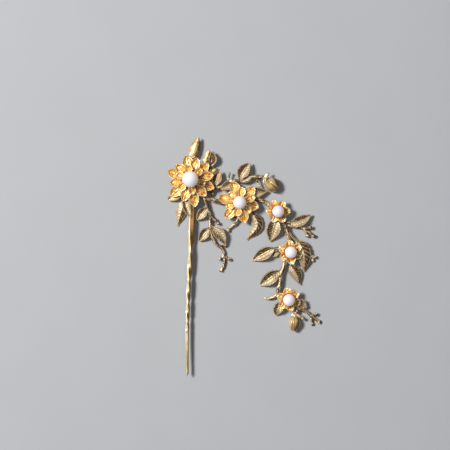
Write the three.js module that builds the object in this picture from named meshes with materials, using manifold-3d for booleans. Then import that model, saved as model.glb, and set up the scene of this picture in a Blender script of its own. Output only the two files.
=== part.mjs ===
// A hair stick with a cast flower branch, lying on its back: X to the right, Y to the crown leaf, Z up.
// Millimetres. The origin is on the main flower's axis, on the flat back of its boss.
// Every flower is a seat with a post, stacked six-petal stampings and a half-drilled pearl. Stems are cast
// in lengths that butt against the seats, and each leaf is soldered on by its own stalk.
import * as THREE from "three";
import { mergeVertices } from "three/addons/utils/BufferGeometryUtils.js";
import Module from "manifold-3d";

// Driving dimensions.
const SOLDER_GAP = 0.12; // left between two pieces that are soldered together
const STEM_Z = 2.8; // height of the stems' axes above the table
const PEARL_DIAMETERS = [8.0, 6.5, 6.0, 6.0, 6.0];
const FLOWER_AXES = {
  main: [0, 0],
  second: [24.5, -11.4],
  third: [43.6, -15.9],
  fourth: [49.9, -36.2],
  fifth: [49.0, -59.9],
};
const MAIN_BOSS = { radius: 4.0, bottom: 0, top: 4.2 };
const SMALL_SEAT = { radius: 2.0, bottom: 1.6, top: 4.1 };
const SHEET = 0.6; // thickness of a stamped petal layer
const LAYER_STEP = 1.1; // from one petal layer to the next
const POST_RADIUS = 0.7;
const POST_HOLE_RADIUS = 0.95;
const STICK = { length: 93.5, width: 3.2, depth: 2.5, endWidth: 1.2, endDepth: 1.15 };
// From one share of the stick's length to another, its half turns growing shorter towards the tip.
const STICK_TWIST = { from: 0.2, to: 0.765, halfTurns: 4, quickening: 1.55 };
const TENON = { radius: 0.9, length: 2.2, clearance: 0.2 };
const STICK_ROOT = [0.4, -(MAIN_BOSS.radius + 0.2), STEM_Z]; // where the bar meets the boss
const LEAF_THICKNESS = 0.7;
const STALK_WIDTH = 0.8;
const LEAF_FOLD = 0.4; // rise of a leaf's half for each millimetre of its width
const TUBE_SIDES = 6;

const wasm = await Module();
wasm.setup();

const MATERIALS = {
  antiqueGold: new THREE.MeshStandardMaterial({ color: 0xb89a5c, metalness: 1, roughness: 0.42 }),
  brushedGold: new THREE.MeshStandardMaterial({ color: 0xd9b56a, metalness: 1, roughness: 0.28 }),
  amberEnamel: new THREE.MeshStandardMaterial({ color: 0xf0a63a, metalness: 0.6, roughness: 0.3 }),
  pearl: new THREE.MeshStandardMaterial({ color: 0xf3eef2, metalness: 0, roughness: 0.22 }),
};

// ---------------------------------------------------------------- solids

// A three.js geometry as a manifold solid, for joining and cutting.
function solidOf(geometry) {
  const plain = geometry.clone();
  plain.deleteAttribute("normal");
  plain.deleteAttribute("uv");
  const merged = mergeVertices(plain, 1e-4);
  const mesh = new wasm.Mesh({
    numProp: 3,
    vertProperties: merged.attributes.position.array,
    triVerts: new Uint32Array(merged.index.array),
  });
  return new wasm.Manifold(mesh);
}

// A manifold solid as a three.js geometry.
function geometryOf(solid) {
  const mesh = solid.getMesh();
  const geometry = new THREE.BufferGeometry();
  geometry.setAttribute("position", new THREE.BufferAttribute(mesh.vertProperties, 3));
  geometry.setIndex(new THREE.BufferAttribute(mesh.triVerts, 1));
  geometry.computeVertexNormals();
  return geometry;
}

function joined(geometries) {
  const [first, ...rest] = geometries.map(solidOf);
  return geometryOf(rest.reduce((whole, piece) => whole.add(piece), first));
}

function cut(geometry, tool) {
  return geometryOf(solidOf(geometry).subtract(solidOf(tool)));
}

// An upright cylinder from one height to another.
function upright(radius, bottom, top, sides, [x, y] = [0, 0]) {
  const cylinder = new THREE.CylinderGeometry(radius, radius, top - bottom, sides);
  return cylinder.rotateX(Math.PI / 2).translate(x, y, (bottom + top) / 2);
}

function ball(radius, [x, y, z]) {
  return new THREE.SphereGeometry(radius, 6, 5).translate(x, y, z);
}

// Moves each vertex of a unit-high geometry to a place along a route: `place(u, v, w)` gives the offsets
// across and above the route for the vertex that stands at share v of its length.
function alongRoute(geometry, route, place) {
  const curve = new THREE.CatmullRomCurve3(route.map((p) => new THREE.Vector3(...p)), false, "centripetal");
  const up = new THREE.Vector3(0, 0, 1);
  const position = geometry.attributes.position;
  for (let i = 0; i < position.count; i++) {
    const share = THREE.MathUtils.clamp(position.getY(i) + 0.5, 0, 1);
    const along = curve.getTangentAt(share);
    const across = along.clone().cross(up).normalize();
    const above = across.clone().cross(along);
    const [side, rise] = place(position.getX(i), share, position.getZ(i));
    const point = curve.getPointAt(share).addScaledVector(across, side).addScaledVector(above, rise);
    position.setXYZ(i, point.x, point.y, point.z);
  }
  return geometry;
}

// A round stem that tapers from one radius to another along a route.
function stem(route, startRadius, endRadius, steps = 6) {
  const unit = new THREE.CylinderGeometry(1, 1, 1, TUBE_SIDES, steps);
  return alongRoute(unit, route, (x, share, z) => {
    const radius = THREE.MathUtils.lerp(startRadius, endRadius, share);
    return [x * radius, z * radius];
  });
}

// ---------------------------------------------------------------- places

// A point given as an offset from a flower's axis.
function from(flower, dx, dy, z = STEM_Z) {
  const [x, y] = FLOWER_AXES[flower];
  return [x + dx, y + dy, z];
}

// The point where a stalk leaves the side of a seat or a stem, in a compass heading (degrees from +X).
function sideOf([x, y, z], radius, heading) {
  const angle = THREE.MathUtils.degToRad(heading);
  const reach = radius + SOLDER_GAP;
  return [x + reach * Math.cos(angle), y + reach * Math.sin(angle), z];
}

const bossSide = (heading, z = STEM_Z) => sideOf(from("main", 0, 0, z), MAIN_BOSS.radius, heading);
const seatSide = (flower, heading, z = STEM_Z) => sideOf(from(flower, 0, 0, z), SMALL_SEAT.radius, heading);

// ---------------------------------------------------------------- hair stick

const STICK_AXIS = [
  STICK_ROOT,
  [0.65, -17.7, 3.0],
  [-0.35, -42.7, 3.5],
  [-1.2, -60.4, 3.8],
  [-1.65, -80, 4.0],
  [-1.45, -97.7, 4.2],
];

// The round tenon on the bar's root, or the socket for it: a short rod that runs into the boss.
function tenon(radius, length) {
  const [x, y, z] = STICK_ROOT;
  return stem([[x, y + length, z], [x, y - 1, z]], radius, radius, 1);
}

// A flat bar, wide at the boss and narrow at the tip, twisted four half turns in its middle.
function hairStick() {
  const { from: start, to: end, halfTurns, quickening } = STICK_TWIST;
  const bar = new THREE.BoxGeometry(2, 1, 2, 1, 52, 1);
  alongRoute(bar, STICK_AXIS, (x, share, z) => {
    const twisted = THREE.MathUtils.clamp((share - start) / (end - start), 0, 1);
    const angle = Math.PI * halfTurns * twisted ** quickening;
    const pointed = 1 - 0.45 * THREE.MathUtils.smoothstep(share, 0.97, 1);
    const halfWidth = 0.5 * THREE.MathUtils.lerp(STICK.width, STICK.endWidth, share ** 1.2) * pointed;
    const halfDepth = 0.5 * THREE.MathUtils.lerp(STICK.depth, STICK.endDepth, share) * pointed;
    const flat = x * halfWidth;
    const thick = z * halfDepth;
    return [
      flat * Math.cos(angle) - thick * Math.sin(angle),
      flat * Math.sin(angle) + thick * Math.cos(angle),
    ];
  });
  return joined([bar, tenon(TENON.radius, TENON.length)]);
}

// ---------------------------------------------------------------- seats and posts

const flowerTopOf = (layers, seat) => seat.top + SOLDER_GAP + (layers - 1) * LAYER_STEP + SHEET;
const pearlCentreZ = (layers, seat, diameter) => flowerTopOf(layers, seat) + SOLDER_GAP + diameter / 2;

function seatWithPost(flower, seat, layers, diameter) {
  const centre = FLOWER_AXES[flower];
  const profile = [
    [0, seat.bottom],
    [seat.radius * 0.9, seat.bottom],
    [seat.radius, seat.bottom + 0.5],
    [seat.radius, seat.top - 0.4],
    [seat.radius * 0.85, seat.top],
    [0, seat.top],
  ].map(([r, z]) => new THREE.Vector2(r, z));
  const body = new THREE.LatheGeometry(profile, 20).rotateX(Math.PI / 2).translate(...centre, 0);
  const post = upright(POST_RADIUS, seat.top - 0.5, pearlCentreZ(layers, seat, diameter) + 1, 10, centre);
  return joined([body, post]);
}

function mainBoss() {
  const boss = seatWithPost("main", MAIN_BOSS, 3, PEARL_DIAMETERS[0]);
  return cut(boss, tenon(TENON.radius + TENON.clearance, TENON.length + TENON.clearance));
}

// ---------------------------------------------------------------- petals and pearls

// One petal: a thin dished tongue from the layer's disc out to its point.
function petal(reach, halfWidth, rise, heading) {
  const unit = new THREE.BoxGeometry(2, 1, 1, 2, 3, 1);
  const position = unit.attributes.position;
  const start = 1.6;
  for (let i = 0; i < position.count; i++) {
    const share = position.getY(i) + 0.5;
    const half = halfWidth * Math.sin(Math.PI * (0.2 + 0.76 * share));
    const across = position.getX(i) * half;
    const dish = 0.16 * Math.abs(across) * (1 - share);
    const lift = rise * share ** 1.4 + dish;
    position.setXYZ(i, start + (reach - start) * share, -across, lift + position.getZ(i) * SHEET);
  }
  return unit.rotateZ(THREE.MathUtils.degToRad(heading));
}

// A stamped layer of six petals round a pierced disc, its disc's underside at height `bottom`. The reaches
// are the petals' lengths from the flower's axis, in turn.
function petalLayer(flower, { reaches, halfWidth, rise, disc, turn }, bottom) {
  const blank = [upright(disc, -SHEET / 2, SHEET / 2, 12)];
  reaches.forEach((reach, n) => blank.push(petal(reach, halfWidth, rise, turn + n * 60)));
  const layer = cut(joined(blank), upright(POST_HOLE_RADIUS, -5, 5, 10));
  return layer.translate(...FLOWER_AXES[flower], bottom + SHEET / 2);
}

// A pearl drilled from below for its post.
function pearl(flower, diameter, centreZ) {
  const [x, y] = FLOWER_AXES[flower];
  const sphere = new THREE.SphereGeometry(diameter / 2, 14, 8).rotateX(Math.PI / 2);
  const hole = upright(POST_HOLE_RADIUS, centreZ - diameter, centreZ + 1.3, 10, [x, y]);
  return cut(sphere.translate(x, y, centreZ), hole);
}

const SMALL_PETALS = { reaches: [6.2, 6.0, 6.1, 5.9, 6.0, 6.1], halfWidth: 1.7, rise: 0.9, disc: 3.4 };
const FLOWERS = {
  main: {
    seat: MAIN_BOSS,
    layers: {
      outer_petals: {
        reaches: [12.3, 12.6, 12.5, 13.2, 13.9, 12.8],
        halfWidth: 2.6,
        rise: 0.9,
        disc: 4.6,
        turn: 40,
      },
      middle_petals: {
        reaches: [11.8, 11.4, 10.4, 10.4, 11.4, 11.4],
        halfWidth: 2.3,
        rise: 1.5,
        disc: 4.0,
        turn: 12,
      },
      inner_petals: {
        reaches: [7.8, 7.6, 7.7, 7.6, 7.7, 7.8],
        halfWidth: 2.0,
        rise: 2.0,
        disc: 3.6,
        turn: 40,
      },
    },
  },
  second: {
    seat: SMALL_SEAT,
    layers: {
      outer_petals: {
        reaches: [10.8, 11.3, 11.0, 10.7, 10.6, 9.9],
        halfWidth: 2.7,
        rise: 1.0,
        disc: 4.0,
        turn: 47,
      },
      inner_petals: {
        reaches: [8.3, 7.8, 7.4, 7.3, 7.0, 7.6],
        halfWidth: 1.9,
        rise: 1.6,
        disc: 3.4,
        turn: 19,
      },
    },
  },
  third: { seat: SMALL_SEAT, layers: { petals: { ...SMALL_PETALS, turn: 0 } } },
  fourth: { seat: SMALL_SEAT, layers: { petals: { ...SMALL_PETALS, turn: 35 } } },
  fifth: { seat: SMALL_SEAT, layers: { petals: { ...SMALL_PETALS, turn: 40 } } },
};

// ---------------------------------------------------------------- stems

// The cast stems, each from its seat outwards, with the radius at either end.
const STEMS = {
  stem_crown: {
    route: [bossSide(84), [0.75, 7.2, 3.0], [0.95, 10.6, 3.2]],
    radii: [1.0, 0.8],
    steps: 4,
  },
  stem_upper_twig: {
    route: [bossSide(40), [6.2, 5.0, 2.7], [8.6, 6.3, 2.8]],
    radii: [0.9, 0.8],
    steps: 4,
  },
  stem_main_to_second: {
    route: [
      bossSide(-42, 2.6),
      [4.7, -5.0, 2.6],
      [6.6, -8.0, 2.6],
      [10, -9.8, 2.7],
      [17, -11.4, 2.8],
      seatSide("second", 182),
    ],
    radii: [1.1, 1.15],
    steps: 12,
  },
  stem_second_to_third: {
    route: [
      seatSide("second", 8, 2.6),
      from("second", 7.5, 2.1, 2.4),
      from("third", -9.1, 6.0, 2.5),
      from("third", -5.3, 3.9),
      seatSide("third", 146),
    ],
    radii: [1.1, 1.1],
    steps: 10,
  },
  stem_third_to_fourth: {
    route: [
      seatSide("third", -62),
      from("third", 3.5, -5.9),
      from("fourth", -0.6, 6.6),
      seatSide("fourth", 92),
    ],
    radii: [1.1, 1.05],
    steps: 8,
  },
  stem_fourth_to_fifth: {
    route: [
      seatSide("fourth", -112),
      from("fourth", -2.7, -6.0),
      from("fourth", -4.7, -10.7),
      from("fifth", -4.4, 7.4),
      from("fifth", -5.4, 3.7),
      from("fifth", -4.4, 1.3),
      seatSide("fifth", 160),
    ],
    radii: [1.05, 0.9],
    steps: 17,
  },
  bud_stem: {
    route: [
      bossSide(-12, 2.2),
      [8.2, -2.8, 2.2],
      [12.2, -4.4, 2.3],
      [15.0, -3.8, 2.4],
      [18.6, -1.5, 2.5],
      [22.4, -0.4, 2.7],
      [27.4, -0.85, 3.2],
      [30.6, 1.2, 3.5],
      [33.5, 1.7, 3.6],
      [35.6, 1.5, 3.8],
      [37.2, 0.6, 3.9],
    ],
    radii: [0.9, 0.85],
    steps: 24,
  },
  hanging_stem: {
    route: [
      [6.6, -8.2, 2.6],
      [8.0, -11.6, 2.5],
      [8.7, -14.6, 2.5],
      [10.0, -20.0, 2.4],
      [9.8, -23.6, 2.2],
      [11.1, -29.6, 1.9],
      [12.8, -32.4, 1.8],
      [16.2, -34.8, 1.6],
      [16.8, -39.0, 1.3],
      [17.1, -42.2, 1.1],
      [15.3, -45.4, 0.9],
    ],
    radii: [0.85, 0.6],
    steps: 17,
  },
};

// A route with its two ends moved outwards by some length.
function lengthened(route, extra) {
  const points = route.map((p) => new THREE.Vector3(...p));
  const first = points[0].clone().sub(points[1]).setLength(extra).add(points[0]);
  const last = points.at(-1).clone().sub(points.at(-2)).setLength(extra).add(points.at(-1));
  return [first.toArray(), ...route.slice(1, -1), last.toArray()];
}

// A cast stem's body, or the same body grown all round by a solder gap.
function stemBody(name, growth = 0) {
  const { route, radii, steps } = STEMS[name];
  return stem(lengthened(route, growth), radii[0] + growth, radii[1] + growth, steps);
}

// Copes the root of a piece to the round side of the stem it is soldered to.
const copedTo = (name, piece) => cut(piece, stemBody(name, SOLDER_GAP));

// ---------------------------------------------------------------- leaves

// A leaf on its stalk. The stalk takes the first `stalk` share of the route, and the blade swells and
// comes to a point. Its halves rise from the midrib where the fold is positive, or fall from it.
function leaf({ route, width, fold = 1, stalk = 0.14 }) {
  const unit = new THREE.BoxGeometry(2, 1, 1, 2, 7, 1);
  return alongRoute(unit, route, (across, share, thickness) => {
    const blade = Math.max(0, (share - stalk) / (1 - stalk));
    const swell = Math.sin(Math.PI * Math.min(0.97, blade ** 0.8));
    const side = across * Math.max((width / 2) * swell, (STALK_WIDTH / 2) * (1 - blade), 0.15);
    const lift = fold * LEAF_FOLD * Math.abs(side) * Math.min(1, 3 * blade);
    return [side, lift + thickness * LEAF_THICKNESS];
  });
}

// Each leaf's route from root to tip. `on` names the stem it is coped to; the others grow from a seat.
const LEAVES = {
  leaf_crown: {
    on: "stem_crown",
    route: [[0.95, 9.4, 3.2], [1.3, 12.4, 3.6], [2.4, 16.4, 3.8], [4.1, 21.1, 3.3]],
    width: 5.3,
    fold: -1,
    stalk: 0.1,
  },
  leaf_upper_slim: {
    on: "stem_upper_twig",
    route: [[6.6, 5.2, 2.8], [7.2, 8.2, 3.0], [8.1, 11.2, 3.3], [9.5, 14.9, 3.3]],
    width: 2.9,
    fold: -1,
    stalk: 0.3,
  },
  leaf_upper_hollow: {
    on: "stem_upper_twig",
    route: [[8.2, 6.1, 3.0], [10.0, 7.6, 3.0], [11.1, 10.2, 3.1], [10.6, 14.0, 3.3]],
    width: 3.8,
    stalk: 0.2,
  },
  leaf_upper_curl: {
    on: "stem_upper_twig",
    route: [[7.4, 5.6, 2.5], [8.9, 4.8, 2.2], [11.0, 4.9, 2.4], [12.8, 5.4, 3.2]],
    width: 3.0,
    stalk: 0.3,
  },
  leaf_inner_upright: {
    on: "bud_stem",
    route: [[12.9, -4.1, 2.6], [12.7, -2.0, 3.0], [13.2, 0.8, 3.4], [14.7, 4.5, 3.4]],
    width: 4.7,
    stalk: 0.14,
  },
  leaf_second_left: {
    on: "bud_stem",
    route: [[21.2, -0.9, 2.8], [20.0, -2.3, 3.7], [17.8, -3.3, 3.9], [15.1, -4.8, 3.9]],
    width: 4.2,
    fold: 0.5,
    stalk: 0.1,
  },
  leaf_second_top: {
    on: "bud_stem",
    route: [[24.2, -0.5, 2.8], [24.8, 1.2, 3.4], [26.6, 4.4, 3.9], [29.6, 8.4, 3.3]],
    width: 5.5,
    stalk: 0.12,
  },
  leaf_second_right: {
    route: [
      seatSide("second", 54, 3.3),
      from("second", 4.4, 4.2, 3.6),
      from("second", 7.8, 5.0, 3.6),
      from("second", 13.7, 5.5, 2.8),
    ],
    width: 4.9,
    fold: 0.5,
    stalk: 0.26,
  },
  leaf_second_low: {
    route: [
      seatSide("second", -46, 2.6),
      from("second", 6.2, -5.2, 3.0),
      from("second", 8.9, -11.4, 2.8),
      from("second", 3.7, -18.7, 0.5),
    ],
    width: 6.0,
    fold: -1,
    stalk: 0.26,
  },
  leaf_third_low: {
    route: [
      seatSide("third", -108),
      from("third", -1.6, -6.4, 3.3),
      from("third", -3.7, -14.9, 1.2),
    ],
    width: 6.5,
    stalk: 0.14,
  },
  leaf_third_right: {
    on: "stem_third_to_fourth",
    route: [[46.4, -20.4, 2.8], [48.9, -21.2, 3.0], [53.2, -21.2, 3.3], [60.4, -17.7, 2.2]],
    width: 4.8,
    stalk: 0.24,
  },
  leaf_fourth_left: {
    route: [
      seatSide("fourth", 166),
      from("fourth", -6.4, 2.3, 3.0),
      from("fourth", -9.2, 1.3, 3.3),
      from("fourth", -19.1, -4.2, 0.8),
    ],
    width: 5.6,
    stalk: 0.34,
  },
  leaf_fourth_bract: {
    route: [
      seatSide("fourth", 192, 2.4),
      from("fourth", -6.2, -0.3, 2.2),
      from("fourth", -9.4, -2.2, 1.8),
    ],
    width: 2.6,
    fold: 0.6,
    stalk: 0.45,
  },
  leaf_fourth_right: {
    on: "stem_third_to_fourth",
    route: [
      [48.7, -25.6, 2.8],
      [51.4, -29.2, 3.2],
      [55.3, -33.2, 3.7],
      [56.8, -39.2, 3.8],
      [56.9, -45.9, 1.0],
    ],
    width: 7.6,
    fold: -0.7,
    stalk: 0.26,
  },
  leaf_stem_left: {
    on: "stem_fourth_to_fifth",
    route: [[45.3, -45.0, 2.8], [43.0, -46.8, 3.0], [39.8, -49.2, 3.2], [34.6, -52.9, 0.9]],
    width: 5.8,
    stalk: 0.08,
  },
  leaf_stem_right: {
    route: [
      seatSide("fourth", -74),
      from("fourth", 0.3, -6.6, 3.2),
      from("fourth", 3.1, -11.4, 3.2),
      from("fourth", 4.6, -16.1, 1.6),
    ],
    width: 6.0,
    fold: -1,
    stalk: 0.3,
  },
  leaf_fifth_left: {
    route: [
      seatSide("fifth", 214),
      from("fifth", -4.2, -3.0, 2.8),
      from("fifth", -5.4, -5.2, 2.8),
      from("fifth", -6.1, -8.0, 1.0),
    ],
    width: 4.5,
    fold: 0.7,
    stalk: 0.16,
  },
  leaf_fifth_right: {
    route: [
      seatSide("fifth", -16, 3.0),
      from("fifth", 5.2, -1.8, 3.2),
      from("fifth", 9.0, -3.9, 2.8),
    ],
    width: 4.7,
    fold: 0.6,
    stalk: 0.25,
  },
  leaf_hanging_top: {
    on: "hanging_stem",
    route: [[8.7, -13.6, 2.6], [6.4, -16.2, 2.8], [3.2, -20.1, 2.0]],
    width: 4.4,
    stalk: 0.12,
  },
  leaf_hanging_left: {
    on: "hanging_stem",
    route: [[9.8, -23.4, 2.3], [7.5, -26.4, 2.6], [4.3, -30.7, 1.4]],
    width: 4.4,
    stalk: 0.12,
  },
  leaf_hanging_right: {
    on: "hanging_stem",
    route: [[10.0, -23.0, 2.5], [12.0, -24.8, 3.2], [14.8, -27.6, 3.6], [17.5, -32.2, 2.8]],
    width: 5.2,
    fold: 0.6,
    stalk: 0.1,
  },
  leaf_main_low: {
    route: [bossSide(-127, 1.9), [-3.1, -8.4, 1.9], [-4.4, -14.6, 2.2], [-6.6, -23.2, 0.5]],
    width: 5.4,
    fold: -0.8,
    stalk: 0.36,
  },
  leaf_main_over_stick: {
    route: [bossSide(-114, 3.2), [-2.6, -8.6, 3.4], [-1.9, -13.4, 4.6], [-0.1, -18.9, 5.1]],
    width: 3.7,
    stalk: 0.34,
  },
  leaf_main_left: {
    route: [bossSide(-139, 2.8), [-6.2, -7.1, 2.8], [-11.0, -10.2, 1.6]],
    width: 3.8,
    stalk: 0.3,
  },
};

function leafPiece({ on, ...spec }) {
  return on ? copedTo(on, leaf(spec)) : leaf(spec);
}

// ---------------------------------------------------------------- twigs, knobs and buds

// A short side shoot with a knob on its end.
function shoot(start, end, radius = 0.5, knob = 0.85) {
  return [stem([start, end], radius * 1.2, radius, 1), ball(knob, end)];
}

// The cup under a bud, opening along a heading.
function calyx(centre, radius, heading) {
  const shape = [[0, 0], [0.6, 0], [1, 0.55], [0.85, 0.85], [0, 0.7]];
  const profile = shape.map(([r, h]) => new THREE.Vector2(r * radius, h * radius));
  const cup = new THREE.LatheGeometry(profile, 9);
  return cup.rotateZ(THREE.MathUtils.degToRad(heading - 90)).translate(...centre);
}

// An egg-shaped bud that points along a heading, its blunt end on its calyx.
function bud({ neck, heading, length, diameter, calyx: cup }) {
  const profile = [new THREE.Vector2(0, 0)];
  const stations = 7;
  for (let n = 1; n < stations; n++) {
    const share = n / stations;
    const swell = Math.sin(Math.PI * share ** 0.85) ** 0.6;
    profile.push(new THREE.Vector2((diameter / 2) * swell, length * share));
  }
  profile.push(new THREE.Vector2(0, length));
  const egg = new THREE.LatheGeometry(profile, 12);
  const base = sideOf(neck, cup * 0.7, heading);
  return egg.rotateZ(THREE.MathUtils.degToRad(heading - 90)).translate(...base);
}

const UPPER_BUD = {
  neck: STEMS.bud_stem.route.at(-1),
  heading: -40,
  length: 7.6,
  diameter: 7.4,
  calyx: 1.8,
};
const LOWER_BUD = { neck: [52.3, -67.2, 3.0], heading: -97, length: 7.6, diameter: 5.9, calyx: 1.5 };

function twigs() {
  const hangingEnd = STEMS.hanging_stem.route.at(-1);
  const belowSecondEnd = [18.8, -25.1, 1.2];
  const thirdFork = from("third", 13.7, -8.6, 2.2);
  const fourthFork = from("fourth", 10.6, -1.9, 1.3);
  const endFork = [60.2, -68.1, 1.9];
  const budFork = [53.6, -64.6, 2.6];
  const hanging = joined([
    stemBody("hanging_stem"),
    ball(0.9, hangingEnd),
    ...shoot([9.7, -17.8, 2.4], [13.9, -21.8, 2.0]),
    ball(0.75, [12.4, -20.1, 2.2]),
    ...shoot([13.8, -33.2, 1.8], [17.3, -33.0, 1.5], 0.45, 0.8),
    ...shoot([16.7, -38.0, 1.4], [19.6, -39.9, 1.3]),
    ...shoot([16.7, -38.2, 1.4], [14.9, -39.7, 1.2], 0.5, 0.8),
  ]);
  return {
    hanging_stem: copedTo("stem_main_to_second", hanging),
    twig_below_second: joined([
      stem([seatSide("second", -94), from("second", -0.4, -7.8, 2.6), belowSecondEnd], 0.75, 0.5, 6),
      ball(0.95, belowSecondEnd),
      ...shoot(from("second", -0.5, -7.4, 2.6), from("second", -2.4, -7.0, 2.5), 0.45, 0.7),
    ]),
    twig_right_of_third: copedTo(
      "stem_third_to_fourth",
      joined([
        stem([[47.6, -22.6, 2.5], [53.0, -23.7, 2.2], thirdFork], 0.65, 0.55, 5),
        ball(0.8, thirdFork),
        ...shoot(thirdFork, [60.0, -23.9, 2.5]),
        ...shoot(thirdFork, [61.7, -28.2, 1.8]),
        ...shoot(thirdFork, [58.3, -27.8, 1.8]),
      ]),
    ),
    twig_right_of_fourth: joined([
      stem([seatSide("fourth", -14, 1.9), from("fourth", 5.0, -1.4, 1.3), fourthFork], 0.6, 0.5, 4),
      ...shoot(fourthFork, [62.5, -38.8, 1.5], 0.45, 0.8),
      ...shoot(fourthFork, [61.2, -40.3, 1.1], 0.45, 0.8),
    ]),
    tendril_left_of_fifth: copedTo(
      "stem_fourth_to_fifth",
      stem([[44.0, -56.8, 2.8], [41.9, -58.4, 2.6], [39.3, -59.6, 2.0], [36.4, -59.1, 1.2]], 0.8, 0.35, 7),
    ),
    twig_end: joined([
      stem([seatSide("fifth", -48, 2.6), budFork, [57.7, -65.8, 2.4], endFork], 0.85, 0.6, 7),
      ...shoot(endFork, [62.8, -67.3, 2.0], 0.5, 0.85),
      ...shoot(endFork, [64.5, -71.2, 1.0], 0.55, 0.95),
      ...shoot(endFork, [61.1, -72.4, 0.9], 0.5, 0.85),
      stem([budFork, [53.2, -66.0, 2.9], LOWER_BUD.neck], 0.6, 0.7, 3),
      calyx(LOWER_BUD.neck, LOWER_BUD.calyx, LOWER_BUD.heading),
      ...shoot(LOWER_BUD.neck, [56.0, -69.3, 3.2], 0.5, 0.8),
    ]),
    bud_stem: joined([
      stemBody("bud_stem"),
      calyx(UPPER_BUD.neck, UPPER_BUD.calyx, UPPER_BUD.heading),
      stem([UPPER_BUD.neck, [38.3, 2.3, 4.0], [39.1, 3.4, 4.1]], 0.75, 0.3, 3),
      stem([UPPER_BUD.neck, [36.9, -1.0, 3.8], [36.7, -2.2, 3.6]], 0.75, 0.4, 3),
      ...shoot([18.4, -1.6, 2.5], [19.6, 3.2, 3.2], 0.45, 0.6),
      ...shoot([32.4, 1.5, 3.5], [34.5, -3.4, 3.0], 0.45, 0.6),
      leaf({ route: [[8.6, -3.4, 2.0], [10.4, -5.6, 1.8], [11.2, -8.0, 1.5]], width: 2.6, fold: 0.6 }),
    ]),
  };
}

// ---------------------------------------------------------------- assembly

const pin = new THREE.Group();

function add(name, geometry, material) {
  const mesh = new THREE.Mesh(geometry, material);
  mesh.name = name;
  pin.add(mesh);
}

add("hair_stick", hairStick(), MATERIALS.brushedGold);
add("main_boss", mainBoss(), MATERIALS.antiqueGold);

Object.entries(FLOWERS).forEach(([flower, { seat, layers }], index) => {
  const count = Object.keys(layers).length;
  const diameter = PEARL_DIAMETERS[index];
  const smallSeat = () => seatWithPost(flower, seat, count, diameter);
  if (flower !== "main") add(`${flower}_seat`, smallSeat(), MATERIALS.antiqueGold);
  Object.entries(layers).forEach(([name, layer], n) => {
    const bottom = seat.top + SOLDER_GAP + n * LAYER_STEP;
    add(`${flower}_${name}`, petalLayer(flower, layer, bottom), MATERIALS.amberEnamel);
  });
  add(`${flower}_pearl`, pearl(flower, diameter, pearlCentreZ(count, seat, diameter)), MATERIALS.pearl);
});

const pieces = twigs();
for (const name of Object.keys(STEMS)) {
  if (!(name in pieces)) add(name, stemBody(name), MATERIALS.antiqueGold);
}
for (const [name, geometry] of Object.entries(pieces)) add(name, geometry, MATERIALS.antiqueGold);
for (const [name, spec] of Object.entries(LEAVES)) add(name, leafPiece(spec), MATERIALS.antiqueGold);

add("bud_upper", bud(UPPER_BUD), MATERIALS.antiqueGold);
add("bud_lower", bud(LOWER_BUD), MATERIALS.antiqueGold);

export default pin;
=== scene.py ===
import math

import bpy
import numpy as np
from mathutils import Matrix, Vector


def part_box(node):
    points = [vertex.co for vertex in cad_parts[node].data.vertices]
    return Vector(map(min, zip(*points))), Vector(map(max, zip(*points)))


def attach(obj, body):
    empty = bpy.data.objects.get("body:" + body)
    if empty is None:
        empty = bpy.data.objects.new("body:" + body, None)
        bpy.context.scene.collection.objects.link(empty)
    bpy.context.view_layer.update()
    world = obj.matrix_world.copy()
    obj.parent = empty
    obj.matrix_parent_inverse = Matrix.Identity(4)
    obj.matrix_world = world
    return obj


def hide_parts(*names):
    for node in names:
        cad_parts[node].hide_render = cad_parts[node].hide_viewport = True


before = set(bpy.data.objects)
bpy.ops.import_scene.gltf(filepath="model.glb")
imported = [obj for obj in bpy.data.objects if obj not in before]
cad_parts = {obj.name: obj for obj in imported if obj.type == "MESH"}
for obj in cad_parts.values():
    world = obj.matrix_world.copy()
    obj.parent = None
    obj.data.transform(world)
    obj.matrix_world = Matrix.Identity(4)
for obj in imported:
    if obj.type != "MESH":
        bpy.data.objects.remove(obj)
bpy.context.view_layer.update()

bl_info = {
    "name": "Flower Branch Hair Stick",
    "version": (1, 0, 0),
    "blender": (4, 5, 0),
    "location": "View3D > Sidebar > Hair Stick",
    "description": "Casts, enamels and polishes a hair stick with a branch of pearl flowers",
    "category": "Add Mesh",
}

# Shapes are worked out in millimetres and scaled to metres when a piece is finished.
MM = 0.001
UP = np.array([0.0, 0.0, 1.0])
# The side the light comes from, up and to the left: surfaces turned to it get painted light, those turned
# from it painted shade.
LIGHT_SIDE = np.array([-0.62, 0.36, 0.70])

# ---------------------------------------------------------------- settings


class StickSettings(bpy.types.PropertyGroup):
    width: bpy.props.FloatProperty(
        name="Width", description="Width of the bar at the flower",
        default=3.2 * MM, unit="LENGTH", precision=5,
    )
    depth: bpy.props.FloatProperty(
        name="Depth", description="Thickness of the bar at the flower",
        default=2.5 * MM, unit="LENGTH", precision=5,
    )
    hammering: bpy.props.FloatProperty(
        name="Hammering", description="Depth of the hammer dents",
        default=0.07 * MM, unit="LENGTH", precision=6,
    )
    # The edge colour is also shown as painted light on facets turned to the light.
    edge_and_lit_colour: bpy.props.FloatVectorProperty(
        name="Edge Colour", description="Gold of the rubbed edges",
        default=(0.93, 0.82, 0.56), subtype="COLOR",
    )
    # The hollow colour is also painted as shade on facets turned from the light.
    hollow_and_shade_colour: bpy.props.FloatVectorProperty(
        name="Hollow Colour", description="Gold of the flats and dents",
        default=(0.30, 0.155, 0.035), subtype="COLOR",
    )


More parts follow.
